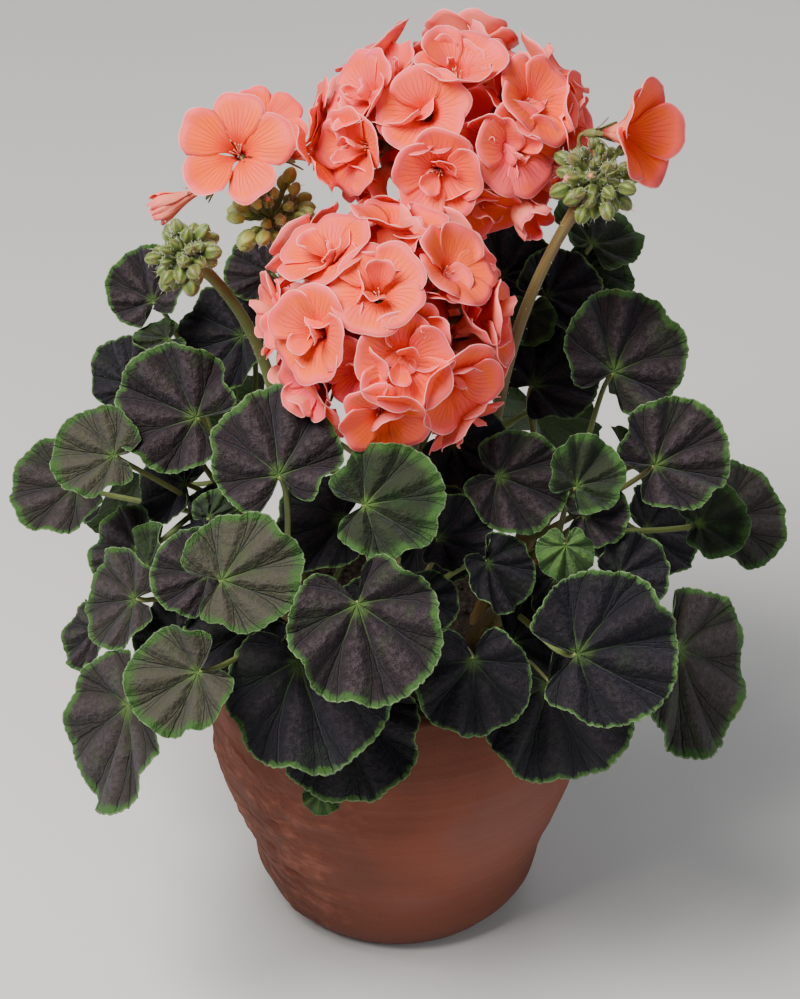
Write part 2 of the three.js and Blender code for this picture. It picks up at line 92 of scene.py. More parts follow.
def waves(points: np.ndarray, length: float, seed: int, count: int = 7) -> np.ndarray:
    """A smooth random field: the mean of sine waves along random directions with random phases.

    Args:
        points: Places, along the last axis.
        length: The waves' typical length in millimetres.
        seed: Seed of the directions and phases.
        count: How many waves are added.

    Returns:
        One number for each place, mostly within -1 to 1.
    """
    rng = np.random.default_rng(seed)
    ways = unit(rng.normal(size=(count, 3))) * rng.uniform(0.7, 1.5, (count, 1)) * (2 * math.pi / length)
    phases = rng.uniform(0, 2 * math.pi, count)
    return np.sin(points @ ways.T + phases).sum(axis=-1) / math.sqrt(count)


# Surfaces


def cells(lattice: np.ndarray) -> np.ndarray:
    """Quads between neighbouring rows and columns, facing along row direction cross column direction."""
    corners = [lattice[:-1, :-1], lattice[1:, :-1], lattice[1:, 1:], lattice[:-1, 1:]]
    return np.stack(corners, axis=-1).reshape(-1, 4)


def pattern(first: np.ndarray, second: np.ndarray) -> np.ndarray:
    """Pairs two pattern coordinates, each spread over all rows and columns."""
    return np.stack(np.broadcast_arrays(first, second), axis=-1)


def normals(lattice: np.ndarray) -> np.ndarray:
    """Unit normals of a lattice, along row direction cross column direction."""
    return unit(np.cross(np.gradient(lattice, axis=0), np.gradient(lattice, axis=1)))


@dataclass
class Surface:
    """A closed surface in millimetres, with what its finish reads.

    Attributes:
        points: x, y and z of each point.
        quads: Four point numbers for each face; a corner that repeats the one before it is dropped.
        uv: Two pattern coordinates for each corner of each face.
        tone: A number at each point, which each finish reads in its own way.
        side: 0 on an upper or outer face, 1 on a lower one, for each point.
    """

    points: np.ndarray
    quads: np.ndarray
    uv: np.ndarray
    tone: np.ndarray
    side: np.ndarray

    @staticmethod
    def skin(points: np.ndarray, uv: np.ndarray, tone: float = 0.0, wrap: bool = False) -> "Surface":
        """Closes a lattice of rows whose last column repeats the first.

        Args:
            points: Rows by columns of places.
            uv: Rows by columns of pattern coordinates.
            tone: The tone of the whole surface.
            wrap: Whether the last row repeats the first; otherwise the first and last rows are poles.

        Returns:
            The closed surface.
        """
        rows, columns = points.shape[:2]
        plain = np.arange(rows * columns).reshape(rows, columns)
        number = plain.copy()
        number[:, -1] = number[:, 0]
        if wrap:
            number[-1] = number[0]
        else:
            number[0], number[-1] = number[0, 0], number[-1, 0]
        count = rows * columns
        corner_uv = uv.reshape(-1, 2)[cells(plain)]
        return Surface(points.reshape(-1, 3), cells(number), corner_uv, np.full(count, tone), np.zeros(count))

    @staticmethod
    def sheet(
        top: np.ndarray, drop: np.ndarray, uv: np.ndarray, tone: float, pole: bool = False
    ) -> "Surface":
        """A thin sheet: the upper lattice, the same one moved by drop, and a band round their border.

        Args:
            top: Rows by columns of places on the upper face.
            drop: The way from the upper face to the lower, for all places or for each.
            uv: Rows by columns of pattern coordinates.
            tone: The tone of the whole sheet.
            pole: Whether the first row is a single point.

        Returns:
            The closed sheet.
        """
        rows, columns = top.shape[:2]
        count = rows * columns
        plain = np.arange(count).reshape(rows, columns)
        number = plain.copy()
        if pole:
            number[0] = number[0, 0]
        edge = np.concatenate([plain[:-1, 0], plain[-1, :-1], plain[:0:-1, -1], plain[0, :0:-1]])
        here, after = edge, np.roll(edge, -1)
        flat, pairs = number.reshape(-1), uv.reshape(-1, 2)
        band = np.stack([flat[after], flat[here], flat[here] + count, flat[after] + count], axis=-1)
        quads = np.concatenate([cells(number), cells(number)[:, ::-1] + count, band])
        band_uv = np.stack([after, here, here, after], axis=-1)
        corner_uv = pairs[np.concatenate([cells(plain), cells(plain)[:, ::-1], band_uv])]
        points = np.concatenate([top.reshape(-1, 3), (top + drop).reshape(-1, 3)])
        return Surface(points, quads, corner_uv, np.full(2 * count, tone), np.repeat([0.0, 1.0], count))

    @staticmethod
    def joined(parts: list["Surface"]) -> "Surface":
        """Puts several surfaces into one, side by side.

        Args:
            parts: The surfaces, at least one.

        Returns:
            The one surface.
        """
        starts = np.cumsum([0] + [len(part.points) for part in parts[:-1]])
        quads = np.concatenate([part.quads + start for part, start in zip(parts, starts)])
        labels = ("points", "uv", "tone", "side")
        points, uv, tone, side = (np.concatenate([getattr(part, key) for part in parts]) for key in labels)
        return Surface(points, quads, uv, tone, side)

    def to_object(self, name: str, finish: Material) -> bpy.types.Object:
        """Makes the Blender object, in metres, smooth shaded, with its pattern coordinates and numbers.

        Args:
            name: The piece's name.
            finish: Its material.

        Returns:
            The new object, linked to the scene.
        """
        used, compact = np.unique(self.quads, return_inverse=True)
        quads = compact.reshape(self.quads.shape)
        keep = quads != np.roll(quads, 1, axis=1)
        keep[keep.sum(axis=1) < 3] = False
        sizes = keep.sum(axis=1)
        sizes = sizes[sizes > 0]
        mesh = bpy.data.meshes.new(name)
        mesh.vertices.add(len(used))
        mesh.vertices.foreach_set("co", (self.points[used] * MM).astype(np.float32).ravel())
        mesh.loops.add(int(sizes.sum()))
        mesh.loops.foreach_set("vertex_index", quads[keep].astype(np.int32))
        mesh.polygons.add(len(sizes))
        mesh.polygons.foreach_set("loop_start", (np.cumsum(sizes) - sizes).astype(np.int32))
        mesh.polygons.foreach_set("use_smooth", np.ones(len(sizes), bool))
        mesh.uv_layers.new(name="pattern").data.foreach_set("uv", self.uv[keep].astype(np.float32).ravel())
        for label, values in (("tone", self.tone), ("side", self.side)):
            attribute = mesh.attributes.new(label, "FLOAT", "POINT")
            attribute.data.foreach_set("value", values[used].astype(np.float32))
        mesh.update(calc_edges=True)
        mesh.materials.append(finish)
        piece = bpy.data.objects.new(name, mesh)
        bpy.context.scene.collection.objects.link(piece)
        return piece


def tube(path: np.ndarray, radii: np.ndarray | float, sides: int, tone: float = 0.0) -> Surface:
    """Carries a circle along a path and closes each end in a pole.

    Args:
        path: The points of the path.
        radii: The circle's radius, for the whole path or at each point.
        sides: How many sides the circle has.
        tone: The tone of the whole tube.

    Returns:
        The closed tube.
    """
    along = unit(np.gradient(path, axis=0))
    reference = np.eye(3)[np.argmin(np.abs(along.mean(axis=0)))]
    across = unit(np.cross(along, reference))
    over = np.cross(along, across)
    angle = np.linspace(0, 2 * math.pi, sides + 1)[None, :, None]
    radii = np.broadcast_to(radii, len(path))[:, None, None]
    rings = path[:, None] + radii * (np.sin(angle) * across[:, None] + np.cos(angle) * over[:, None])
    ends = [np.repeat(path[end][None, None], sides + 1, axis=1) for end in (0, -1)]
    points = np.concatenate([ends[0], rings, ends[1]])
    share = np.linspace(0, 1, len(points))
    uv = pattern(share[:, None], np.linspace(0, 1, sides + 1))
    return Surface.skin(points, uv, tone)


def revolved(profile: np.ndarray, columns: int) -> tuple[np.ndarray, np.ndarray]:
    """Turns a profile about the pot's axis.

    Args:
        profile: Radius and height of each point, in the order that keeps its outside on the right.
        columns: How many columns go round.

    Returns:
        The rows by columns of places, the last column repeating the first, and their pattern coordinates.
    """
    angle = np.linspace(0, 2 * math.pi, columns + 1)
    radius, height = profile[:, 0, None], np.repeat(profile[:, 1, None], columns + 1, axis=1)
    points = np.stack([radius * np.sin(angle), radius * np.cos(angle), height], axis=-1)
    return points, pattern(np.linspace(0, 1, len(profile))[:, None], angle / (2 * math.pi))


def spikes(roots: np.ndarray, ways: np.ndarray, width: float) -> Surface:
    """Three-sided needles: each a small triangle at its root that narrows to a point.

    Args:
        roots: Where each needle stands.
        ways: Each needle's direction, as long as the needle.
        width: The radius of its root.

    Returns:
        All needles as one surface.
    """
    along = unit(ways)
    reference = np.where(np.abs(along[:, 2:]) < 0.9, UP, np.eye(3)[0])
    across = unit(np.cross(along, reference))
    over = np.cross(along, across)
    turns = 2 * math.pi * np.arange(3) / 3
    ring = [roots + width * (math.cos(turn) * across + math.sin(turn) * over) for turn in turns]
    points = np.stack([*ring, roots + ways], axis=1).reshape(-1, 3)
    faces = np.array([[0, 1, 3, 3], [1, 2, 3, 3], [2, 0, 3, 3], [0, 2, 1, 1]])
    quads = (4 * np.arange(len(roots))[:, None, None] + faces).reshape(-1, 4)
    count = len(points)
    return Surface(points, quads, np.zeros((len(quads), 4, 2)), np.zeros(count), np.zeros(count))


def egg(
    centre: np.ndarray, axis: np.ndarray, radius: float, half: float, tone: float, ribs: float
) -> Surface:
    """An egg with five low ribs: a circle whose radius follows sin(t)^(0.7 + 0.2 t) along its axis.

    Args:
        centre: Its middle.
        axis: The way its tip points.
        radius: Its radius at the thickest place.
        half: Half its length.
        tone: Its tone.
        ribs: The ribs' height as a share of the radius.

    Returns:
        The closed egg.
    """
    axis = unit(np.asarray(axis, float))
    across = unit(np.cross(axis, [0.3, 0.9, 0.31]))
    over = np.cross(axis, across)
    polar = np.linspace(0, math.pi, 9)[:, None]
    angle = np.linspace(0, 2 * math.pi, 16)[None, :]
    girth = radius * np.sin(polar) ** (0.7 + 0.2 * polar)
    girth = girth * (1 + ribs * np.cos(5 * angle)) * (1.05 + 0.1 * np.cos(polar))
    rise = -half * np.cos(polar)
    points = (
        centre
        + axis * rise[..., None]
        + across * (girth * np.sin(angle))[..., None]
        + over * (girth * np.cos(angle))[..., None]
    )
    return Surface.skin(points, pattern(polar / math.pi, angle / (2 * math.pi)), tone)


# Shaders


class Value:
    """A socket that adds a Math node when it is calculated with."""

    def __init__(self, shader: "Shader", socket: bpy.types.NodeSocket) -> None:
        """Wraps an output socket of a shader."""
        self.shader = shader
        self.socket = socket

    def math(self, operation: str, *others: "Value | float") -> "Value":
        """Adds a Math node of this value and others."""
        sockets = dict(enumerate((self, *others)))
        return self.shader.node("ShaderNodeMath", {"operation": operation}, sockets)

    def __add__(self, other: "Value | float") -> "Value":
        """Adds."""
        return self.math("ADD", other)

    __radd__ = __add__

    def __mul__(self, other: "Value | float") -> "Value":
        """Multiplies."""
        return self.math("MULTIPLY", other)

    __rmul__ = __mul__

    def __sub__(self, other: "Value | float") -> "Value":
        """Subtracts."""
        return self.math("SUBTRACT", other)

    def __rsub__(self, other: float) -> "Value":
        """Subtracts from a number."""
        return self.math("MULTIPLY", -1.0) + other

    def __pow__(self, power: float) -> "Value":
        """Raises to a power."""
        return self.math("POWER", power)

    def __abs__(self) -> "Value":
        """Drops the sign."""
        return self.math("ABSOLUTE")

    def rise(self, low: "Value | float", high: "Value | float") -> "Value":
        """Rises smoothly from 0 at low to 1 at high; with low above high it falls."""
        sockets = {0: self, 1: low, 2: high, 3: 0.0, 4: 1.0}
        return self.shader.node("ShaderNodeMapRange", {"interpolation_type": "SMOOTHSTEP"}, sockets)


class Shader:
    """A material under construction."""

    def __init__(self, name: str) -> None:
        """Starts a material with an empty node tree.

        Args:
            name: The material's name.
        """
        self.material = bpy.data.materials.new(name)
        self.material.use_nodes = True
        self.tree = self.material.node_tree
        self.tree.nodes.clear()

    def node(
        self, kind: str, settings: dict[str, Any], sockets: dict[int | str, Any], output: int = 0
    ) -> Value:
        """Adds a node.

        Args:
            kind: The node's type.
            settings: Its own settings, set first.
            sockets: The number, colour or link of each input.
            output: Which output is wanted.

        Returns:
            That output.
        """
        node = self.tree.nodes.new(kind)
        for label, setting in settings.items():
            setattr(node, label, setting)
        for key, value in sockets.items():
            if isinstance(value, Value):
                self.tree.links.new(value.socket, node.inputs[key])
            elif isinstance(value, tuple) and node.inputs[key].type == "RGBA":
                node.inputs[key].default_value = (*value, 1.0)
            else:
                node.inputs[key].default_value = value
        return Value(self, node.outputs[output])

    def number(self, label: str) -> Value:
        """Reads a number that the mesh carries."""
        return self.node("ShaderNodeAttribute", {"attribute_name": label}, {}, 2)

    def pattern(self) -> tuple[Value, Value]:
        """Reads the two pattern coordinates of the mesh."""
        pair = self.node("ShaderNodeUVMap", {"uv_map": "pattern"}, {})
        return tuple(self.node("ShaderNodeSeparateXYZ", {}, {0: pair}, axis) for axis in (0, 1))

    def place(self) -> Value:
        """Reads the place on the object."""
        return self.node("ShaderNodeTexCoord", {}, {}, 3)

    def vector(self, x: Value | float, y: Value | float, z: Value | float) -> Value:
        """Joins three numbers into a vector."""
        return self.node("ShaderNodeCombineXYZ", {}, {0: x, 1: y, 2: z})

    def noise(self, place: Value, scale: float, detail: float = 2.0) -> Value:
        """Adds a noise from about 0.3 to 0.7."""
        return self.node("ShaderNodeTexNoise", {}, {"Vector": place, "Scale": scale, "Detail": detail})

    def mix(self, share: Value | float, first: Value | Colour, second: Value | Colour) -> Value:
        """Goes from the first colour at share 0 to the second at share 1."""
        return self.node("ShaderNodeMix", {"data_type": "RGBA"}, {0: share, 6: first, 7: second}, 2)

    def finished(
        self, colour: Value, height: Value, depth: float, constants: dict[str, Any]
    ) -> Material:
        """Ends the material in a Principled shader.

        Args:
            colour: The base colour.
            height: The relief that bends the light.
            depth: The relief's depth in millimetres.
            constants: The values of other sockets, or links where a socket may vary.

        Returns:
            The material.
        """
        bump = self.node("ShaderNodeBump", {}, {"Height": height, "Distance": depth * MM})
        sockets = {"Base Color": colour, "Normal": bump, **constants}
        surface = self.node("ShaderNodeBsdfPrincipled", {}, sockets)
        output = self.tree.nodes.new("ShaderNodeOutputMaterial")
        self.tree.links.new(surface.socket, output.inputs["Surface"])
        return self.material


# Finishes


@dataclass(frozen=True)
class LeafFinish:
    """Velvety leaf: a green star at the hub, a dark zone whose creased veins carry painted shadow and whose
    crowns between them carry painted sheen, and a green margin whose very rim is paler, partly as a painted
    highlight.
    """

    WHOLE_STEPS = 10

    star: Colour = (0.085, 0.165, 0.025)
    dark: Colour = (0.0042, 0.0036, 0.0058)
    dusky: Colour = (0.0125, 0.0068, 0.0075)
    grey: Colour = (0.052, 0.050, 0.029)
    green: Colour = (0.011, 0.020, 0.005)
    young: Colour = (0.060, 0.125, 0.026)
    velvet_and_sheen: Colour = (0.076, 0.053, 0.064)
    margin: Colour = (0.038, 0.098, 0.018)
    edge: Colour = (0.20, 0.29, 0.13)
    vein_shadow: Colour = (0.0015, 0.0015, 0.0015)
    under: Colour = (0.045, 0.085, 0.026)
    roughness: float = 0.7

    def build(self) -> Material:
        """Builds the material; pattern x runs from the hub to the rim, pattern y round the blade.

        Returns:
            The material.
        """
        shader = Shader("leaf")
        share, round_ = shader.pattern()
        tone, side, place = shader.number("tone"), shader.number("side"), shader.place()
        streak = shader.noise(shader.vector(round_ * 46.0, share * 3.0, tone * 9.0), 1.0, 3.0)
        speck = shader.noise(place, 1700.0, 3.0)
        cloud = shader.noise(place, 75.0, 3.0)
        wander = (shader.noise(place, 160.0, 2.0) - 0.5) * 0.10
        steps = (round_ - 0.5) * (360 / LeafBlade.LOBE_STEP) + (self.WHOLE_STEPS + 0.5)
        off = abs((steps + wander).math("FRACT") - 0.5)
        past = (share - LeafBlade.FORK_START).math("MAXIMUM", 0.0)
        branch = (past**LeafBlade.FORK_POWER) * LeafBlade.FORK_SLOPE
        to_main, to_fork = off * share, abs(off - branch) * share
        to_twig = abs(off - branch * 0.45 - 0.015) * share
        main = to_main.rise(0.021, 0.002)
        fork = to_fork.rise(0.015, 0.001) * share.rise(0.34, 0.5)
        twig = to_twig.rise(0.010, 0.001) * share.rise(0.55, 0.7)
        veins = main.math("MAXIMUM", fork * 0.85).math("MAXIMUM", twig * 0.6)
        bumps = shader.noise(place, 420.0, 4.0)
        crown = to_main.math("MINIMUM", to_fork + share.rise(0.5, 0.3)).rise(0.015, 0.15)
        zone = shader.mix(tone.rise(0.0, 0.45), self.dark, self.dusky)
        zone = shader.mix(tone.rise(0.4, 0.7), zone, self.grey)
        zone = shader.mix(tone.rise(0.74, 0.84) * (cloud.rise(0.35, 0.65) * 0.2 + 0.8), zone, self.green)
        zone = shader.mix(tone.rise(0.87, 1.0), zone, self.young)
        # Velvet speckle, strongest on the raised crowns between the veins and faint in the vein valleys:
        # partly the hairs' own grey-mauve bloom, partly painted sheen on the crowns and painted shade in the
        # valleys.
        bloom = (speck + bumps - 0.5).rise(0.28, 0.78) * (crown * 0.75 + 0.05) * tone.rise(0.95, 0.72)
        velvet_and_sheen_share = bloom * (tone.rise(0.0, 0.50) * 0.45 + 0.3) * tone.rise(1.05, 0.5)
        zone = shader.mix(velvet_and_sheen_share, zone, self.velvet_and_sheen)
        zone = shader.mix(cloud.rise(0.5, 0.75) * 0.25 * (tone + 0.3), zone, self.margin)
        # Near-black painted shadow in the vein creases, stronger away from the hub.
        zone = shader.mix(veins * share.rise(0.18, 0.5) * 0.55, zone, self.vein_shadow)
        hub = (share + (streak - 0.5) * 0.14).rise(0.21, 0.02) + share.rise(0.55, 0.10) * veins * 0.8
        colour = shader.mix(hub.math("MINIMUM", 1.0) * (tone * 0.5 + 0.5), zone, self.star)
        rim = share + (streak - 0.5) * 0.12 + (cloud - 0.5) * 0.10 - veins * 0.03
        colour = shader.mix(rim.rise(0.935 - tone * tone * 0.24, 0.975 - tone * 0.025), colour, self.margin)
        # A pale line at the very rim: partly the rim's own paler green, partly a painted highlight.
        colour = shader.mix((share + (streak - 0.5) * 0.02).rise(0.975, 1.0) * 0.75, colour, self.edge)
        colour = shader.mix(side * (1 - veins * 0.5), colour, self.under)
        relief = speck * 0.5 + bumps * 1.5 + cloud * 0.4 + crown * 0.9 - veins
        constants = {"Roughness": self.roughness, "Sheen Weight": 0.05, "Sheen Roughness": 0.5}
        constants |= {"Sheen Tint": (0.8, 0.78, 1.0), "Specular IOR Level": 0.22}
        return shader.finished(colour, relief, 1.1, constants)


@dataclass(frozen=True)
class PetalFinish:
    """Thin coral petal: deeper at its claw, paler at its rim, with fine darker veins and a pale back."""

    body: Colour = (1.0, 0.098, 0.008)
    pale: Colour = (1.0, 0.122, 0.015)
    rosy: Colour = (0.97, 0.092, 0.135)
    rim: Colour = (1.0, 0.44, 0.42)
    claw: Colour = (0.92, 0.055, 0.016)
    # Painted shade down the deep throat.
    throat: Colour = (0.30, 0.012, 0.016)
    pink: Colour = (0.94, 0.075, 0.20)
    vein: Colour = (0.55, 0.025, 0.010)
    back: Colour = (0.98, 0.30, 0.22)
    roughness: float = 0.5

    def build(self) -> Material:
        """Builds the material; pattern x runs from the claw to the rim, pattern y across the petal.

        Returns:
            The material.
        """
        shader = Shader("petal")
        along, across = shader.pattern()
        tone, side, place = shader.number("tone"), shader.number("side"), shader.place()
        wander = shader.noise(shader.vector(along * 3.0, across * 5.0, tone * 31.0), 1.0, 2.0)
        lines = abs(((across + (wander - 0.5) * 0.12) * 11.0).math("FRACT") - 0.5)
        veins = lines.rise(0.13, 0.0) * along.rise(1.05, 0.45)
        cloud = shader.noise(place, 70.0, 2.0)
        grain = shader.noise(shader.vector(along * 30.0, across * 90.0, tone * 17.0), 1.0, 3.0)
        inside = 0.5 - abs(across - 0.5)
        near_rim = (1 - along).math("MINIMUM", inside * 1.6 + (1 - along) * 0.4)
        blush = near_rim + (grain - 0.5) * 0.12 + (cloud - 0.5) * 0.3
        colour = shader.mix(along.rise(0.25, 0.95) * 0.75, self.body, self.pale)
        # Pink by tone: the florets' own varied pinkness, and in a head's hidden fillers and core a painted
        # glow of light through the petals.
        colour = shader.mix(cloud.rise(0.46, 0.62) * (tone * 0.5 + 0.15), colour, self.pink)
        colour = shader.mix(tone * (along.rise(1.0, 0.2) * 0.45 + 0.15), colour, self.pink)
        colour = shader.mix(along.rise(0.42, 0.08), colour, self.claw)
        colour = shader.mix(veins * 0.6, colour, self.vein)
        colour = shader.mix(grain.rise(0.45, 0.7) * 0.18, colour, self.pale)
        colour = shader.mix(side * 0.75, colour, self.back)
        colour = shader.mix(blush.rise(0.26, 0.02) * 0.7, colour, self.rosy)
        # A whitish line at the very edge: partly the rim's own paler colour, partly a painted highlight.
        colour = shader.mix(near_rim.rise(0.030, 0.0) * 0.65, colour, self.rim)
        # Darker red down the throat, fullest in a head's florets: painted shade in the deep throat.
        colour = shader.mix(along.rise(0.10, 0.02) * tone.rise(-0.2, 0.1), colour, self.throat)
        constants = {"Roughness": self.roughness, "Specular IOR Level": 0.2, "Subsurface Weight": 0.3}
        constants |= {"Subsurface Radius": (1.0, 0.4, 0.3), "Subsurface Scale": 1.5 * MM}
        return shader.finished(colour, veins * -0.6 + grain * 0.6, 0.2, constants)


@dataclass(frozen=True)
class StemFinish:
    """Hairy green stem, browner where its tone is high, with fine lengthwise streaks."""

    green: Colour = (0.125, 0.165, 0.032)
    brown: Colour = (0.145, 0.074, 0.026)
    light: Colour = (0.20, 0.23, 0.060)
    roughness: float = 0.5

    def build(self) -> Material:
        """Builds the material; pattern x runs along the stem, pattern y round it.

        Returns:
            The material.
        """
        shader = Shader("stem")
        along, round_ = shader.pattern()
        tone, place = shader.number("tone"), shader.place()
        streak = shader.noise(shader.vector(along * 6.0, round_ * 26.0, 0.0), 1.0, 3.0)
        speck = shader.noise(place, 1400.0, 2.0)
        cloud = shader.noise(place, 60.0, 2.0)
        colour = shader.mix((tone + (cloud - 0.5) * 0.7).rise(0.15, 0.9), self.green, self.brown)
        colour = shader.mix(streak.rise(0.45, 0.7) * 0.5, colour, self.light)
        colour = shader.mix(speck.rise(0.55, 0.8) * 0.3, colour, self.light)
        constants = {"Roughness": self.roughness, "Sheen Weight": 0.15, "Sheen Roughness": 0.4}
        return shader.finished(colour, streak + speck * 0.6, 0.25, constants)


@dataclass(frozen=True)
class BudFinish:
    """Bud of five pressed sepals: green ribs, darker seams, coral-tipped at 1, and paler at tone 0.5 as
    painted light on the shaded sparse umbel.
    """

    SEPALS = 5.0

    rib: Colour = (0.180, 0.225, 0.034)
    pale: Colour = (0.48, 0.56, 0.110)
    seam: Colour = (0.070, 0.110, 0.014)
    brown: Colour = (0.17, 0.085, 0.035)
    tip: Colour = (0.85, 0.28, 0.17)
    roughness: float = 0.5

    def build(self) -> Material:
        """Builds the material; pattern x runs from the stalk to the tip, pattern y round the bud.

        Returns:
            The material.
        """
        shader = Shader("bud")
        along, round_ = shader.pattern()
        tone, place = shader.number("tone"), shader.place()
        rib = abs((round_ * self.SEPALS).math("FRACT") - 0.5)
        streak = shader.noise(shader.vector(along * 4.0, round_ * 40.0, tone * 7.0), 1.0, 3.0)
        cloud = shader.noise(place, 180.0, 2.0)
        colour = shader.mix((rib + (streak - 0.5) * 0.3).rise(0.15, 0.42), self.seam, self.rib)
        # Paler at tone 0.5: painted light that lifts the sparse umbel's buds out of the shadow of the florets
        # above.
        colour = shader.mix(abs(tone - 0.5).rise(0.5, 0.0) * 0.65, colour, self.pale)
        colour = shader.mix((cloud + along * 0.25).rise(0.60, 0.88) * 0.55, colour, self.brown)
        colour = shader.mix((along + tone * 0.3).rise(1.02, 1.25), colour, self.tip)
        constants = {"Roughness": self.roughness, "Sheen Weight": 0.4, "Sheen Roughness": 0.4}
        return shader.finished(colour, rib + streak * 0.5, 0.3, constants)


@dataclass(frozen=True)
class PlainFinish:
    """A small single-coloured part with a faint mottle, such as hairs, stamens or soil crumbs."""

    name: str
    colour: Colour
    mottle: Colour
    scale: float
    roughness: float = 0.6

    def build(self) -> Material:
        """Builds the material on the object's own coordinates.

        Returns:
            The material.
        """
        shader = Shader(self.name)
        cloud = shader.noise(shader.place(), self.scale, 4.0)
        colour = shader.mix(cloud.rise(0.4, 0.65), self.colour, self.mottle)
        return shader.finished(colour, cloud, 0.4, {"Roughness": self.roughness})


@dataclass(frozen=True)
class TerracottaFinish:
    """Unglazed clay: orange-brown, a greyish bloom, faint throwing rings, a weathered left side, and painted
    shade darkening it towards the foot.
    """

    clay: Colour = (0.182, 0.042, 0.018)
    warm: Colour = (0.216, 0.048, 0.020)
    deep: Colour = (0.108, 0.026, 0.012)
    bloom: Colour = (0.205, 0.078, 0.060)
    chip: Colour = (0.330, 0.105, 0.066)
    dark: Colour = (0.075, 0.026, 0.017)
    powdery: Place = (0.052, -0.064, 0.084)
    roughness: float = 0.85

    def build(self) -> Material:
        """Builds the material; tone is 1 where the clay flakes, and a bloom lies round the powdery place.

        Returns:
            The material.
        """
        shader = Shader("terracotta")
        place, tone = shader.place(), shader.number("tone")
        flat = shader.node("ShaderNodeVectorMath", {"operation": "MULTIPLY"}, {0: place, 1: (1.0, 1.0, 1.5)})
        broad = shader.noise(place, 9.0, 3.0)
        patch = shader.noise(flat, 26.0, 4.0)
        flake = shader.noise(flat, 110.0, 5.0)
        grain = shader.noise(place, 900.0, 4.0)
        height = shader.node("ShaderNodeSeparateXYZ", {}, {0: place}, 2)
        ring = shader.noise(shader.vector(0.0, 0.0, height), 300.0, 3.0)
        colour = shader.mix(broad.rise(0.35, 0.65), self.deep, self.warm)
        colour = shader.mix(patch.rise(0.35, 0.65) * 0.5, colour, self.clay)
        colour = shader.mix(patch.rise(0.50, 0.78) * broad.rise(0.40, 0.62) * 0.5, colour, self.bloom)
        colour = shader.mix(ring.rise(0.52, 0.70) * 0.18, colour, self.bloom)
        away = shader.node("ShaderNodeVectorMath", {"operation": "DISTANCE"}, {0: place, 1: self.powdery}, 1)
        colour = shader.mix((away + (patch - 0.5) * 0.06).rise(0.050, 0.008) * 0.5, colour, self.bloom)
        # Darker towards the foot: painted shade where the pot meets the floor.
        colour = shader.mix((height + (patch - 0.5) * 0.03).rise(0.085, 0.0) * 0.9, colour, self.deep)
        scars = tone * patch.rise(0.42, 0.56)
        colour = shader.mix(scars * flake.rise(0.46, 0.70) * 0.6, colour, self.chip)
        colour = shader.mix(scars * flake.rise(0.46, 0.28) * 0.6, colour, self.dark)
        colour = shader.mix(grain.rise(0.60, 0.75) * 0.25, colour, self.bloom)
        relief = grain * 0.35 + flake * (scars * 3.5 + 0.2) + patch * tone * 3.0 + ring * 0.4
        return shader.finished(colour, relief, 0.8, {"Roughness": self.roughness})


# Leaves


class Tone(Enum):
    """How a leaf is coloured: from a nearly black zone to a young leaf without one."""

    DEEP = 0.05
    DUSKY = 0.42
    # A dusky leaf that faces the light, painted lighter and mauve with more velvet: a lit copy of the dusky
    # tone, as painted sheen.
    DUSKY_LIT = 0.50
    GREY = 0.72
    GREEN = 0.86
    YOUNG = 1.0


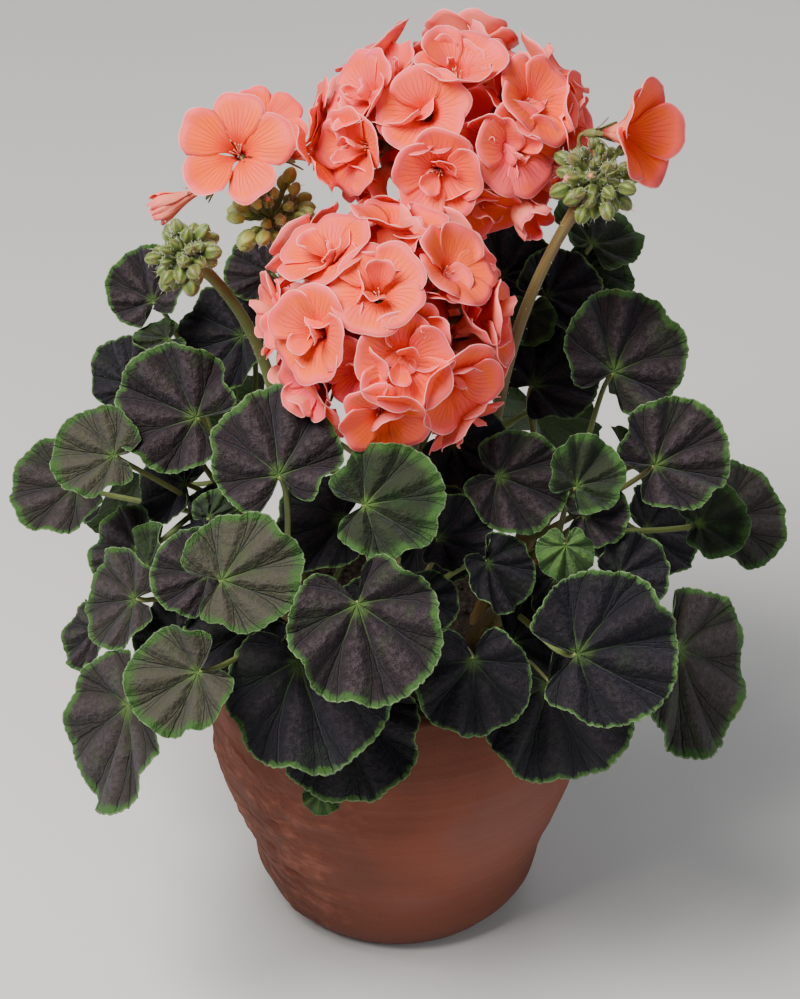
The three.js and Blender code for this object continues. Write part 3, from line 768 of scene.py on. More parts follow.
@dataclass(frozen=True)
class LeafBlade:
    """A round blade of seven lobes about a hub behind its centre.

    Attributes:
        centre: The middle of its outline.
        radius: The outline's radius.
        look: The turn and height of the way that it faces.
        spin: Its tip's turn from straight down towards the right.
        bend: Its cup and its fold, as shares of the radius.
        order: Its place on the stem, which sets the phases of its waves.
        tone: Its colouring; young blades are pleated deeply, and lit dusky ones, painted mauve as painted
            sheen, are nearly flat.
    """

    HUB = 0.36
    LOBE_STEP = 52.0
    LOBE_DEPTH = 0.06
    FORK_START = 0.36
    FORK_SLOPE = 0.37
    FORK_POWER = 0.8
    PLEAT = 0.05
    PLEAT_SCALE = {Tone.YOUNG.value: 2.6, Tone.DUSKY_LIT.value: 0.2}
    RIPPLE = 0.07
    VALLEY = 0.026
    BRANCH = 0.017
    RIDGE = 0.026
    CRIMP = 0.038
    WAVE = 0.040
    SWELL = 0.030
    CURL = 0.11
    SINUS = 169.0
    SINUS_DEPTH = 0.26
    TEETH_PER_MM = 1.4
    FEWEST_TEETH = 18
    COLUMNS_PER_TOOTH = 4
    TOOTH = 0.025
    THICKNESS = 0.45
    SHARES = (0.0, 0.07, 0.18, 0.30, 0.42, 0.54, 0.66, 0.77, 0.86, 0.92, 0.96, 0.985, 1.0)

    centre: np.ndarray
    radius: float
    look: tuple[float, float]
    spin: float
    bend: tuple[float, float]
    order: int
    tone: float

    @staticmethod
    def from_row(row: tuple, order: int) -> "LeafBlade":
        """Reads a row of centre, radius, turn, tilt, spin, cup, fold and tone.

        Args:
            row: The ten values.
            order: The blade's place on its stem.

        Returns:
            The blade.
        """
        x, y, z, radius, turn, tilt, spin, cup, fold, tone = row
        centre = np.array([x, y, z], float)
        return LeafBlade(centre, radius, (turn, tilt), spin, (cup, fold), order, tone.value)

    def frame(self) -> tuple[np.ndarray, np.ndarray, np.ndarray]:
        """Gives the way the blade faces, the way of its tip, and the way of its side.

        Returns:
            Three unit vectors at right angles to each other.
        """
        face = direction(*self.look)
        right = unit(np.cross(UP, face))
        spin = math.radians(self.spin)
        tip = math.cos(spin) * np.cross(right, face) + math.sin(spin) * right
        return face, tip, np.cross(face, tip)

    def height(self, share: np.ndarray, angle: np.ndarray) -> np.ndarray:
        """Height over the flat as a share of the radius: a cup, a fold, pleats and a slow ripple.

        Args:
            share: The share of the way from the hub to the outline.
            angle: The angle about the blade's centre in degrees, 0 at the tip.

        Returns:
            The height at each place.
        """
        cup, fold = self.bend
        deep = self.PLEAT_SCALE.get(self.tone, 1.0)
        pleat = deep * self.PLEAT * share * np.cos(np.radians(360 / self.LOBE_STEP * angle))
        ripple = self.RIPPLE * share**2 * np.sin(np.radians(3 * angle + self.order * GOLDEN_ANGLE))
        folded = fold * share * (np.abs(np.sin(np.radians(angle))) - 0.4)
        return cup * (share**2 - 0.3) + folded - pleat + ripple

    def relief(self, share: np.ndarray, angle: np.ndarray) -> np.ndarray:
        """Finer relief as a share of the radius.

        Valleys lie along the main and forked veins, exp(-(distance / width)^2) across, with low ridges
        between the main ones. The blade swells and waves slowly, its rim is crimped by the fourth power of
        the share, and its edges curl up at the sinus.

        Args:
            share: The share of the way from the hub to the outline.
            angle: The angle about the blade's centre in degrees, 0 at the tip.

        Returns:
            The relief at each place.
        """
        turn = np.radians(angle)
        off = np.abs((angle / self.LOBE_STEP + 0.5) % 1 - 0.5)
        fork = self.FORK_SLOPE * np.maximum(share - self.FORK_START, 0) ** self.FORK_POWER
        uneven = 1 + 0.4 * np.sin(np.radians(1.7 * angle) + 3.1 * self.order)
        main_dip = np.exp(-((off * share / 0.05) ** 2)) * smooth(share, 0.05, 0.3)
        fork_dip = np.exp(-((np.abs(off - fork) * share / 0.04) ** 2)) * smooth(share, 0.4, 0.6)
        phase = self.order * 2.4
        crimp = self.CRIMP * share**4 * np.sin(9 * turn + 0.6 * np.sin(4 * turn) + phase)
        wave = self.WAVE * share**2 * np.sin(5 * turn + 2 * phase)
        swell = self.SWELL * share * np.sin(2 * turn + 4 * share + phase)
        ridge = -self.RIDGE * share * np.cos(np.radians(360 / self.LOBE_STEP * angle))
        curl = self.CURL * share**1.5 * smooth(np.abs(angle), 118, 172)
        dips = uneven * (self.VALLEY * main_dip + self.BRANCH * fork_dip)
        return crimp + wave + swell + ridge + curl - dips

    def place(
        self, share: np.ndarray, angle: np.ndarray, reach: np.ndarray, height: np.ndarray
    ) -> np.ndarray:
        """Gives places on the blade, from the hub to the outline.

        Args:
            share: The share of the way from the hub to the outline.
            angle: The angle about the blade's centre in degrees, 0 at the tip.
            reach: The outline's distance from the centre as a share of the radius.
            height: The height over the flat as a share of the radius.

        Returns:
            The places.
        """
        face, tip, side = self.frame()
        along = share * (reach * np.cos(np.radians(angle)) + self.HUB) - self.HUB
        across = share * reach * np.sin(np.radians(angle))
        flat = along[..., None] * tip + across[..., None] * side
        return self.centre + self.radius * (flat + height[..., None] * face)

    def surface(self) -> Surface:
        """Builds the blade, with uneven gaps between its lobes and rounded teeth round its rim.

        Returns:
            The closed blade.
        """
        teeth = max(self.FEWEST_TEETH, round(self.TEETH_PER_MM * self.radius))
        share = np.array(self.SHARES)[:, None]
        half = self.SINUS + 5 * math.sin(2.1 * self.order + self.radius)
        angle = np.linspace(-half, half, teeth * self.COLUMNS_PER_TOOTH + 1)[None, :]
        share, angle = np.broadcast_arrays(share, angle)
        lobes = np.cos(np.radians(360 / self.LOBE_STEP * angle))
        spaced = angle / half + 0.35 / teeth * np.sin(np.radians(17 * angle + 90 * self.order))
        crown = np.abs(np.sin(math.pi * teeth * (spaced + 1) / 2))
        uneven = 1 + 0.5 * np.sin(np.radians(23 * angle + 50 * self.order))
        drift = np.sin(np.radians(1.9 * angle + 77 * self.order) + self.radius)
        gaps = self.LOBE_DEPTH * (1 + 0.9 * drift) * (0.5 - 0.5 * lobes) ** 2
        reach = 1 - gaps - self.SINUS_DEPTH * smooth(np.abs(angle), 146, half + 4) ** 2
        reach = reach * (1 + self.TOOTH * uneven * (crown - 0.75) * smooth(share, 0.84, 1.0))
        height = self.height(share, angle) + self.relief(share, angle)
        top = self.place(share, angle, reach, height)
        uv = pattern(share, angle / 360 + 0.5)
        return Surface.sheet(top, -self.THICKNESS * self.frame()[0], uv, self.tone, pole=True)

    def hub(self) -> np.ndarray:
        """Gives the place where the petiole joins the blade."""
        zero = np.zeros(1)
        return self.place(zero, zero, zero + 1, self.height(zero, zero))[0]

    def petiole(self, start: np.ndarray) -> Surface:
        """A stalk that leaves the stem outwards and upwards, and meets the blade's hub from below.

        Args:
            start: Where it leaves the stem.

        Returns:
            The closed stalk.
        """
        face, tip, _ = self.frame()
        seat = self.hub() - 0.3 * face
        length = float(np.linalg.norm(seat - start))
        outwards = unit((seat - start) * [1, 1, 0])
        leaving = start + 0.3 * length * (outwards + UP)
        arriving = seat - 0.26 * length * face - 0.06 * length * tip
        share = np.linspace(0, 1, 15)
        path = bezier([start, leaving, arriving, seat], share)
        radii = 1.15 + 0.55 * (1 - share) ** 2 + 0.25 * smooth(share, 0.93, 1.0)
        return tube(path, radii, 8, 0.15 + 0.3 * (self.order % 3 == 0))


# Florets


@dataclass(frozen=True)
class Floret:
    """Petals round a throat.

    Attributes:
        place: The centre of the petals' plane.
        look: The turn and height of the way that it faces.
        spin: The turn of its petals.
        radius: The petals' reach.
        opening: The petals' angle to the axis: 90 is flat open.
        inner: How many small inner petals stand in it.
        tone: How pink it is.
        seed: Seed of its petals' differences.
        width: Half the angle over which a petal fans out.
    """

    PETALS = 5
    ROWS = 10
    COLUMNS = 15
    THROAT = 11.0
    THICKNESS = 0.3
    STAMENS = 7
    SEPALS = 5

    place: np.ndarray | Place
    look: tuple[float, float]
    spin: float
    radius: float
    opening: float = 90.0
    inner: int = 0
    tone: float = 0.0
    seed: int = 0
    width: float = 33.0

    def axes(self) -> tuple[np.ndarray, np.ndarray, np.ndarray]:
        """Gives the way that it faces and two ways across that.

        Returns:
            Three unit vectors at right angles to each other.
        """
        face = direction(*self.look)
        right = unit(np.cross(UP, face))
        return face, right, np.cross(face, right)

    def petal(self, angle: float, length: float, opening: float, rng: np.random.Generator) -> Surface:
        """One petal: a fan from behind its claw, with a rounded, faintly notched end.

        The distance from the axis is bent down the throat by (1 - distance)^7, and the blade is lifted by
        the square of the distance, tilted like a pinwheel's, rippled near its rim and curled at its end.

        Args:
            angle: The petal's turn round the axis in degrees.
            length: Its reach from the axis.
            opening: Its angle to the axis in degrees.
            rng: Source of its small differences.

        Returns:
            The closed petal.
        """
        along = np.linspace(0, 1, self.ROWS)[:, None] ** 1.3
        across = np.linspace(-1, 1, self.COLUMNS)[None, :]
        fan = math.radians(self.width) * across * (0.3 + 0.7 * smooth(along, 0.0, 0.55))
        back = 0.25 * length
        start = back + 0.05 * length
        notch = 0.05 * np.exp(-((across / 0.22) ** 2)) * rng.uniform(0.2, 1.0)
        uneven = 0.028 * np.sin(4.4 * across + rng.uniform(0, 6.3))
        end = length * (1 - 0.26 * np.abs(across) ** 2.6 - notch + uneven) + back
        far = start + (end - start) * along
        x, y = far * np.sin(fan), far * np.cos(fan) - back
        distance = np.hypot(x, y)
        ratio = distance / length
        lift = rng.uniform(1.2, 3.4) * ratio**2
        wheel = 0.75 * across * along
        ripple = rng.uniform(0.4, 1.1) * along**3 * np.sin(5.5 * across + rng.uniform(0, 6.3))
        pleats = 0.12 * along * np.sin(17 * across)
        curl = (rng.uniform(-3.2, 1.6) + 5.0 * (1 - opening / 90)) * along**5
        groove = -0.5 * np.exp(-((across / 0.16) ** 2)) * along * (1 - along) * 2
        throat = -self.THROAT * (np.clip(1 - ratio, 0, 1) / 0.95) ** 7
        scale = (length / self.radius) ** 0.5
        rise = (lift + wheel + ripple + pleats + curl + groove) * scale
        tilt = math.radians(opening)
        round_ = math.radians(angle) + np.arctan2(x, y)
        face, right, over = self.axes()
        level = distance * math.sin(tilt) - rise * math.cos(tilt)
        depth = distance * math.cos(tilt) + rise * math.sin(tilt) + throat * scale
        outwards = np.cos(round_)[..., None] * right + np.sin(round_)[..., None] * over
        top = self.place + level[..., None] * outwards + depth[..., None] * face
        uv = pattern(along, across / 2 + 0.5)
        return Surface.sheet(top, -self.THICKNESS * normals(top), uv, self.tone)

    def petals(self) -> Surface:
        """Builds the five petals and the small inner ones.

        Returns:
            All petals as one surface.
        """
        rng = np.random.default_rng(self.seed)
        step = 360 / self.PETALS
        parts = []
        for index in range(self.PETALS):
            length = self.radius * rng.uniform(0.95, 1.04)
            angle = self.spin + index * step + rng.uniform(-5, 5)
            parts.append(self.petal(angle, length, self.opening - rng.uniform(-4, 8), rng))
        for index in range(self.inner):
            angle = self.spin + 36 + index * 360 / self.inner + rng.uniform(-25, 25)
            length = self.radius * rng.uniform(0.5, 0.7)
            parts.append(self.petal(angle, length, self.opening * rng.uniform(0.5, 0.72), rng))
        return Surface.joined(parts)

    def stamens(self) -> Surface:
        """Seven slender filaments that spread from the throat, each with a small anther.

        Returns:
            The filaments and anthers as one surface.
        """
        rng = np.random.default_rng(self.seed + 5)
        face = direction(*self.look)
        root = self.place - 0.75 * self.THROAT * face
        count = self.STAMENS
        ways = unit(face + rng.normal(scale=0.22, size=(count, 3))) * rng.uniform(7.5, 10.5, (count, 1))
        filaments = spikes(np.repeat(root[None], count, axis=0), ways * 1.05, 0.35)
        anthers = spikes(root + ways * 0.8, ways * 0.22, 0.55)
        return Surface.joined([filaments, anthers])

    def calyx(self) -> Surface:
        """Five narrow green sepals that hug the throat, and the cup that they stand on.

        Returns:
            The cup and sepals as one surface.
        """
        face, right, over = self.axes()
        seat = self.place - (self.THROAT + 2.2) * face
        heights, radii = np.array([-6.0, -4.0, -1.0, 1.6]), np.array([1.0, 1.8, 2.1, 1.5])
        parts = [tube(seat + heights[:, None] * face, radii, 8, 0.4)]
        along = np.linspace(0, 1, 6)[:, None]
        across = np.linspace(-1, 1, 5)[None, :]
        step = 360 / self.SEPALS
        for index in range(self.SEPALS):
            middle = math.radians(step * index + self.spin + step / 2)
            angle = middle + 0.42 * across * (1 - 0.9 * along) ** 0.7
            level = 1.9 + 4.6 * along**1.3
            outwards = np.cos(angle)[..., None] * right + np.sin(angle)[..., None] * over
            top = seat + level[..., None] * outwards + (6.6 * along)[..., None] * face
            uv = pattern(along, across / 2 + 0.5)
            parts.append(Surface.sheet(top, -self.THICKNESS * normals(top), uv, 0.35))
        return Surface.joined(parts)

    def stalk(self, start: np.ndarray) -> Surface:
        """A thin stalk from the umbel's hub to the calyx.

        Args:
            start: The umbel's hub.

        Returns:
            The closed stalk.
        """
        face = direction(*self.look)
        end = self.place - (self.THROAT + 7.5) * face
        length = float(np.linalg.norm(end - start))
        path = bezier([start, end - 0.4 * length * face, end], np.linspace(0, 1, 10))
        return tube(path, 0.85, 7, 0.55)


# The plant's stems


@dataclass(frozen=True)
class Umbel:
    """Buds that spiral out from an axis: close packed, or each on its own pedicel.

    Attributes:
        hub: Where the pedicels start.
        axis: The way the umbel points.
        buds: How many buds it has.
        spread: How far from the axis the last bud stands, in degrees.
        reach: The length of its pedicels.
        dense: Whether smaller buds fill the space between.
        tips: How many of its buds show coral tips, as a share.
    """

    BUD_RADIUS = 3.4
    BUD_HALF = 4.7
    HAIRS_PER_BUD = 22
    # Each ring of buds: how many more than the first, its share of the reach, its first step and its size.
    RINGS = {
        True: ((0, 1.0, 0, 1.0), (6, 0.80, 3, 0.92), (-3, 0.48, 7, 0.8)),
        False: ((0, 1.0, 0, 1.0), (8, 0.86, 4, 0.9), (3, 0.56, 9, 0.8)),
    }

    hub: Place
    axis: Place
    buds: int
    spread: float
    reach: float
    dense: bool
    tips: float

    def places(self, count: int, reach: float, start: int) -> tuple[np.ndarray, np.ndarray]:
        """Bud centres and directions: golden angle steps round the axis, the root of their order out.

        Args:
            count: How many buds the ring has.
            reach: Their distance from the hub.
            start: The spiral's first step.

        Returns:
            The centre and the direction of each bud.
        """
        index = np.arange(count)
        polar = np.radians(self.spread * np.sqrt((index + 0.5) / count))
        round_ = np.radians((index + start) * GOLDEN_ANGLE)
        flat = np.sin(polar)
        local = np.stack([flat * np.sin(round_), -flat * np.cos(round_), np.cos(polar)], axis=-1)
        axis = unit(np.array(self.axis, float))
        turn = np.cross(UP, axis)
        cosine = axis[2]
        ways = local * cosine + np.cross(turn, local) + turn * (local @ turn)[:, None] / (1 + cosine)
        far = reach if self.dense or reach < self.reach else np.where(index % 2, reach, 0.78 * reach)
        return np.array(self.hub, float) + ways * np.reshape(far, (-1, 1)), ways

    def surfaces(self) -> tuple[Surface, Surface, np.ndarray, np.ndarray]:
        """Builds the umbel.

        Returns:
            Its buds, its stalks, and the roots and directions of the hairs on its buds.
        """
        rng = np.random.default_rng(int(self.reach * 10))
        hub = np.array(self.hub, float)
        knot = tube(hub + np.array([[0, 0, -1.5], [0, 0, 1.5]]), 2.6, 8, 0.3)
        buds, stalks, roots, ways = [], [knot], [], []
        for more, part, start, scale in self.RINGS[self.dense]:
            count, reach = self.buds + more, part * self.reach
            centres, outs = self.places(count, reach, start)
            for index, (centre, out) in enumerate(zip(centres, outs)):
                size = scale * rng.uniform(0.8, 1.08) * (0.62 + 0.42 * math.sqrt((index + 0.5) / count))
                # Buds of the sparse umbel take tone 0.5, which the bud finish paints paler as painted light
                # in the florets' shadow.
                tone = 1.0 if rng.uniform() < self.tips else 0.0 if self.dense else 0.5
                buds.append(egg(centre, out, self.BUD_RADIUS * size, self.BUD_HALF * size, tone, 0.12))
                foot = centre - 4.2 * size * out
                bend = (hub + foot) / 2 - np.array([0, 0, 0.08 * reach])
                path = bezier([hub, bend, foot], np.linspace(0, 1, 6))
                stalks.append(tube(path, 0.7 * scale + 0.1, 6, 0.2))
                sides = unit(rng.normal(size=(self.HAIRS_PER_BUD, 3)))
                shift = rng.uniform(-4, 2.5, (self.HAIRS_PER_BUD, 1))
                roots.append(centre + 2.6 * size * sides + out * shift * size)
                ways.append((sides + 0.3 * out) * rng.uniform(1.5, 2.8, (self.HAIRS_PER_BUD, 1)))
        return Surface.joined(buds), Surface.joined(stalks), np.concatenate(roots), np.concatenate(ways)


@dataclass(frozen=True)
class Peduncle:
    """A flower stalk.

    Attributes:
        end: Where it ends.
        axis: The way it arrives there.
        share: Where it leaves its stem, as a share of the stem.
        tone: How brown it is.
    """

    end: Place
    axis: Place
    share: float
    tone: float


@dataclass
class LeafyStem:
    """A woody stem with its leaves, peduncles, umbels and the stalks of its single florets.

    Attributes:
        name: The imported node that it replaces.
        foot: Where it stands in the soil.
        tip: Where it ends.
        rows: Centre, radius, turn, tilt, spin, cup, fold and tone of each leaf.
        peduncles: Its flower stalks.
        umbels: Its groups of buds.
        florets: Its single florets by node name; their stalks start at its last umbel's hub.
        lobes: Rows of small lobes that hang from a leaf's rim.
    """

    STEM_RADIUS = 5.2
    ROOT_Z = 106.0
    LOWEST_PETIOLE = 0.45
    HAIRS_PER_STALK = 260
    HAIR_WIDTH = 0.12
    PEDUNCLE_RADIUS = 2.7
    JOINTS = 9
    LOBE_ORDER = 3

    name: str
    foot: tuple[float, float]
    tip: Place
    rows: list[tuple]
    peduncles: list[Peduncle] = field(default_factory=list)
    umbels: list[Umbel] = field(default_factory=list)
    florets: dict[str, Floret] = field(default_factory=dict)
    lobes: list[tuple] = field(default_factory=list)

    def along(self, share: np.ndarray) -> np.ndarray:
        """Points of the stem's centreline.

        Args:
            share: Shares of the way from the foot to the tip.

        Returns:
            One point for each share.
        """
        x, y = self.foot
        knee = (1.25 * x, 1.25 * y, (self.ROOT_Z + self.tip[2]) / 2)
        return bezier([(x, y, self.ROOT_Z), knee, self.tip], share)

    def wood(self) -> Surface:
        """The woody stem, thicker at each joint and narrower at its tip.

        Returns:
            The closed stem.
        """
        share = np.linspace(0, 1, 48)
        joints = 0.45 * np.cos(2 * math.pi * share * self.JOINTS) ** 8
        radii = self.STEM_RADIUS * (1 - 0.25 * share**2) + joints
        radii[-3:] *= np.array([0.85, 0.6, 0.3])
        return tube(self.along(share), radii, 14, 0.8)

    def blades(self) -> list[LeafBlade]:
        """Reads the leaves."""
        return [LeafBlade.from_row(row, order) for order, row in enumerate(self.rows)]

    def peduncle_path(self, stalk: Peduncle) -> np.ndarray:
        """Points of a flower stalk, which rises from its stem and bends towards its umbel.

        Args:
            stalk: The flower stalk.

        Returns:
            The points, from its stem to its end.
        """
        start = self.along(np.array([stalk.share]))[0]
        end = np.array(stalk.end, float)
        length = float(np.linalg.norm(end - start))
        arriving = end - 0.35 * length * unit(np.array(stalk.axis, float))
        return bezier([start, start + 0.35 * length * UP, arriving, end], np.linspace(0, 1, 28))

    def hairs(self, rng: np.random.Generator) -> tuple[np.ndarray, np.ndarray]:
        """Roots and directions of the fine hairs on the flower stalks.

        Args:
            rng: Source of their places and lengths.

        Returns:
            The roots and the directions.
        """
        roots, ways, count = [], [], self.HAIRS_PER_STALK
        for stalk in self.peduncles:
            path = self.peduncle_path(stalk)
            spots = path[rng.integers(6, len(path), count)] + rng.normal(scale=0.9, size=(count, 3))
            sides = unit(rng.normal(size=(count, 3)))
            roots.append(spots + 1.9 * sides)
            ways.append(sides * rng.uniform(0.8, 1.6, (count, 1)))
        return np.concatenate(roots), np.concatenate(ways)

    def build(self, leaf: Material, stem: Material, bud: Material, hair: Material) -> None:
        """Makes the stem's pieces: its leaves, its stalks, its buds and their hairs.

        Args:
            leaf: The leaves' material.
            stem: The stalks' material.
            bud: The buds' material.
            hair: The hairs' material.
        """
        blades = self.blades()
        lobes = [LeafBlade.from_row(row, self.LOBE_ORDER) for row in self.lobes]
        sheets = [blade.surface() for blade in blades + lobes]
        dress(Surface.joined(sheets), f"{self.name}_leaves", leaf, "foliage", self.name)
        stalks = [self.wood()]
        for order, blade in enumerate(blades):
            share = self.LOWEST_PETIOLE + (1 - self.LOWEST_PETIOLE) * (order + 0.5) / len(blades)
            stalks.append(blade.petiole(self.along(np.array([share]))[0]))
        for stalk in self.peduncles:
            path = self.peduncle_path(stalk)
            up = np.linspace(0, 1, len(path))
            radii = self.PEDUNCLE_RADIUS - 0.3 * up + 0.5 * smooth(up, 0.9, 1.0)
            stalks.append(tube(path, radii, 12, stalk.tone))
        for floret in self.florets.values():
            stalks += [floret.stalk(np.array(self.umbels[-1].hub, float)), floret.calyx()]
        buds, roots, ways = [], [], []
        for umbel in self.umbels:
            for kept, made in zip((buds, stalks, roots, ways), umbel.surfaces()):
                kept.append(made)
        dress(Surface.joined(stalks), f"{self.name}_stalks", stem, "foliage", self.name)
        if buds:
            dress(Surface.joined(buds), f"{self.name}_buds", bud, "foliage", self.name)
        if self.peduncles:
            more_roots, more_ways = self.hairs(np.random.default_rng(len(self.rows)))
            hair_roots, hair_ways = np.concatenate([*roots, more_roots]), np.concatenate([*ways, more_ways])
            needles = spikes(hair_roots, hair_ways, self.HAIR_WIDTH)
            dress(needles, f"{self.name}_hairs", hair, "foliage", self.name)


@dataclass(frozen=True)
class FlowerHead:
    """A dense round head of florets on one peduncle.

    Attributes:
        name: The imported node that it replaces.
        centre: Its middle.
        stretch: Its width, depth and height against a ball's.
        hub: Where its pedicels start.
        rows: Turn, height, spin, reach and, if half open, opening angle of each floret.
        seed: Seed of its petals' differences.
    """

    REACH = 45.0
    FLORET_RADIUS = 20.0
    FLORET_WIDTH = 37.0
    FILLERS = 26
    FILLER_REACH = 0.84
    FILLER_RADIUS = 17.0
    CORE_RADIUS = 27.0

    name: str
    centre: Place
    stretch: Place
    hub: Place
    rows: list[tuple]
    seed: int

    def away(self, turn: float, height: float, reach: float) -> np.ndarray:
        """The place at a turn and height round the head."""
        return np.array(self.centre) + direction(turn, height) * np.array(self.stretch) * self.REACH * reach

    def florets(self) -> list[Floret]:
        """The outer florets, and smaller ones behind them, which fill the gaps and are pinker: a painted pink
        glow of light through the petals in the shaded gaps.

        Returns:
            The outer florets, then the small ones.
        """
        rng = np.random.default_rng(self.seed)
        found = []
        for order, (turn, height, spin, reach, *rest) in enumerate(self.rows):
            opening = rest[0] if rest else 88 - rng.uniform(0, 12)
            inner = 0 if rest else int(rng.integers(0, 3))
            place = self.away(turn, height, reach)
            look = (turn + rng.uniform(-6, 6), height + rng.uniform(-6, 6))
            tone = 0.05 + 0.8 * float(rng.uniform()) ** 2
            radius, seed = self.FLORET_RADIUS * rng.uniform(1.0, 1.08), self.seed * 100 + order
            found.append(Floret(place, look, spin, radius, opening, inner, tone, seed, self.FLORET_WIDTH))
        for order in range(self.FILLERS):
            height = math.degrees(math.asin(1 - 1.7 * (order + 0.5) / self.FILLERS))
            turn = order * GOLDEN_ANGLE
            place = self.away(turn, height, self.FILLER_REACH)
            look = (turn + rng.uniform(-25, 25), height + rng.uniform(-25, 25))
            # The fillers' high pink tone is a painted glow of light through the petals in the gaps.
            spin, tone, seed = rng.uniform(0, 72), float(rng.uniform(0.3, 0.9)), self.seed * 100 + 50 + order
            found.append(Floret(place, look, spin, self.FILLER_RADIUS, 70, 1, tone, seed))
        return found

    def core(self) -> Surface:
        """A small dark pink ball behind the petals, at full pink tone: a painted pink glow of light through
        the petals.

        Returns:
            The closed ball.
        """
        radius, half = self.CORE_RADIUS * self.stretch[0], self.CORE_RADIUS * self.stretch[2]
        heart = egg(np.array(self.centre), UP, radius, half, 1.0, 0.0)
        heart.uv[...] = (0.5, 0.5)
        return heart

    def build(self, petal: Material, stem: Material, stamen: Material) -> None:
        """Makes the head's pieces: its petals, its stamens, and the pedicels inside it.

        Args:
            petal: The petals' material.
            stem: The pedicels' material.
            stamen: The stamens' material.
        """
        florets = self.florets()
        petals = Surface.joined([floret.petals() for floret in florets] + [self.core()])
        dress(petals, f"{self.name}_petals", petal, "petals", self.name)
        outer = florets[: len(self.rows)]
        stamens = Surface.joined([one.stamens() for one in outer])
        dress(stamens, f"{self.name}_stamens", stamen, "petals", self.name)
        hub = np.array(self.hub, float)
        stalks = [one.stalk(hub) for one in outer] + [one.calyx() for one in outer]
        dress(Surface.joined(stalks), f"{self.name}_pedicels", stem, "foliage", self.name)


# The pot and its soil


@dataclass(frozen=True)
class Pot:
    """The rounded terracotta pot: its outer and inner profiles and its drain hole."""

    OUTER = (
        (49, 0), (54, 1.2), (58, 5), (64.5, 15), (69, 35),
        (77, 57), (83, 78), (85, 98), (84.5, 122), (80, 147),
    )
    INNER = ((73, 147), (77.5, 118), (75, 78), (62, 35), (52, 14), (48, 9.4))
    RIM_Z = 147.0
    RIM_MIDDLE = 76.5
    RIM_HALF = 3.5
    RIM_RISE = 3.0
    DRAIN = 10.0
    FLOOR = 9.0
    FLAT = 30.0
    COLUMNS = 220

    @staticmethod
    def spline(points: tuple, count: int) -> np.ndarray:
        """A Catmull-Rom curve through points: on each span, a cubic with the neighbours' slopes.

        Args:
            points: The places to pass through.
            count: How many points the curve has.

        Returns:
            The curve's points.
        """
        knots = np.array(points, float)
        slopes = np.gradient(knots, axis=0)
        at = np.linspace(0, len(knots) - 1, count)
        first = np.minimum(at.astype(int), len(knots) - 2)
        t = (at - first)[:, None]
        start, end, rise, fall = knots[first], knots[first + 1], slopes[first], slopes[first + 1]
        return (
            (2 * t**3 - 3 * t**2 + 1) * start
            + (t**3 - 2 * t**2 + t) * rise
            + (3 * t**2 - 2 * t**3) * end
            + (t**3 - t**2) * fall
        )

    def profile(self) -> np.ndarray:
        """Radius and height once round the wall, from the drain hole out, up, over the rim and back.

        Returns:
            The profile's points, the last one as the first.
        """
        arc = np.linspace(0, math.pi, 9)[1:-1]
        across, over = self.RIM_MIDDLE + self.RIM_HALF * np.cos(arc), self.RIM_Z + self.RIM_RISE * np.sin(arc)
        rim = np.stack([across, over], axis=-1)
        foot = [(self.DRAIN, 0.0), (self.FLAT, 0.0)]
        hole = [(self.DRAIN, self.FLOOR * share) for share in (1.0, 0.5, 0.0)]
        wall = (self.spline(self.OUTER, 90), rim, self.spline(self.INNER, 34))
        return np.concatenate([foot, *wall, [(self.FLAT, self.FLOOR), *hole]])

    def surface(self) -> Surface:
        """The wall, with faint throwing rings all round and flaking lumps on its left side.

        Returns:
            The closed pot.
        """
        points, uv = revolved(self.profile(), self.COLUMNS)
        radius = np.hypot(points[..., 0], points[..., 1])
        outside = smooth(radius, 55.0, 64.0) * smooth(points[..., 2], 4.0, 14.0)
        outwards = unit(points * [1, 1, 0])
        left = smooth(-outwards[..., 0] - 0.35 * outwards[..., 1], 0.35, 0.95)
        flat = points * [1, 1, 1.5]
        spots = smooth(waves(flat, 40, 11), -0.3, 0.9)
        fine = 0.6 * waves(flat, 12, 4, 24) + 0.4 * waves(flat, 6, 5, 24)
        lumps = 0.5 * waves(flat, 30, 3, 24) + spots * fine
        rings = 0.12 * np.sin(points[..., 2] * 0.9) + 0.10 * np.sin(points[..., 2] * 0.37 + 1)
        shift = outside * (left * (lumps - 0.5) + rings + 0.2 * waves(points, 70, 6))
        made = Surface.skin(points + shift[..., None] * outwards, uv, 0.0, wrap=True)
        made.tone = (left * outside).reshape(-1)
        return made

    def build(self, clay: Material) -> None:
        """Makes the pot."""
        dress(self.surface(), "terracotta_pot", clay, "terracotta", "pot")


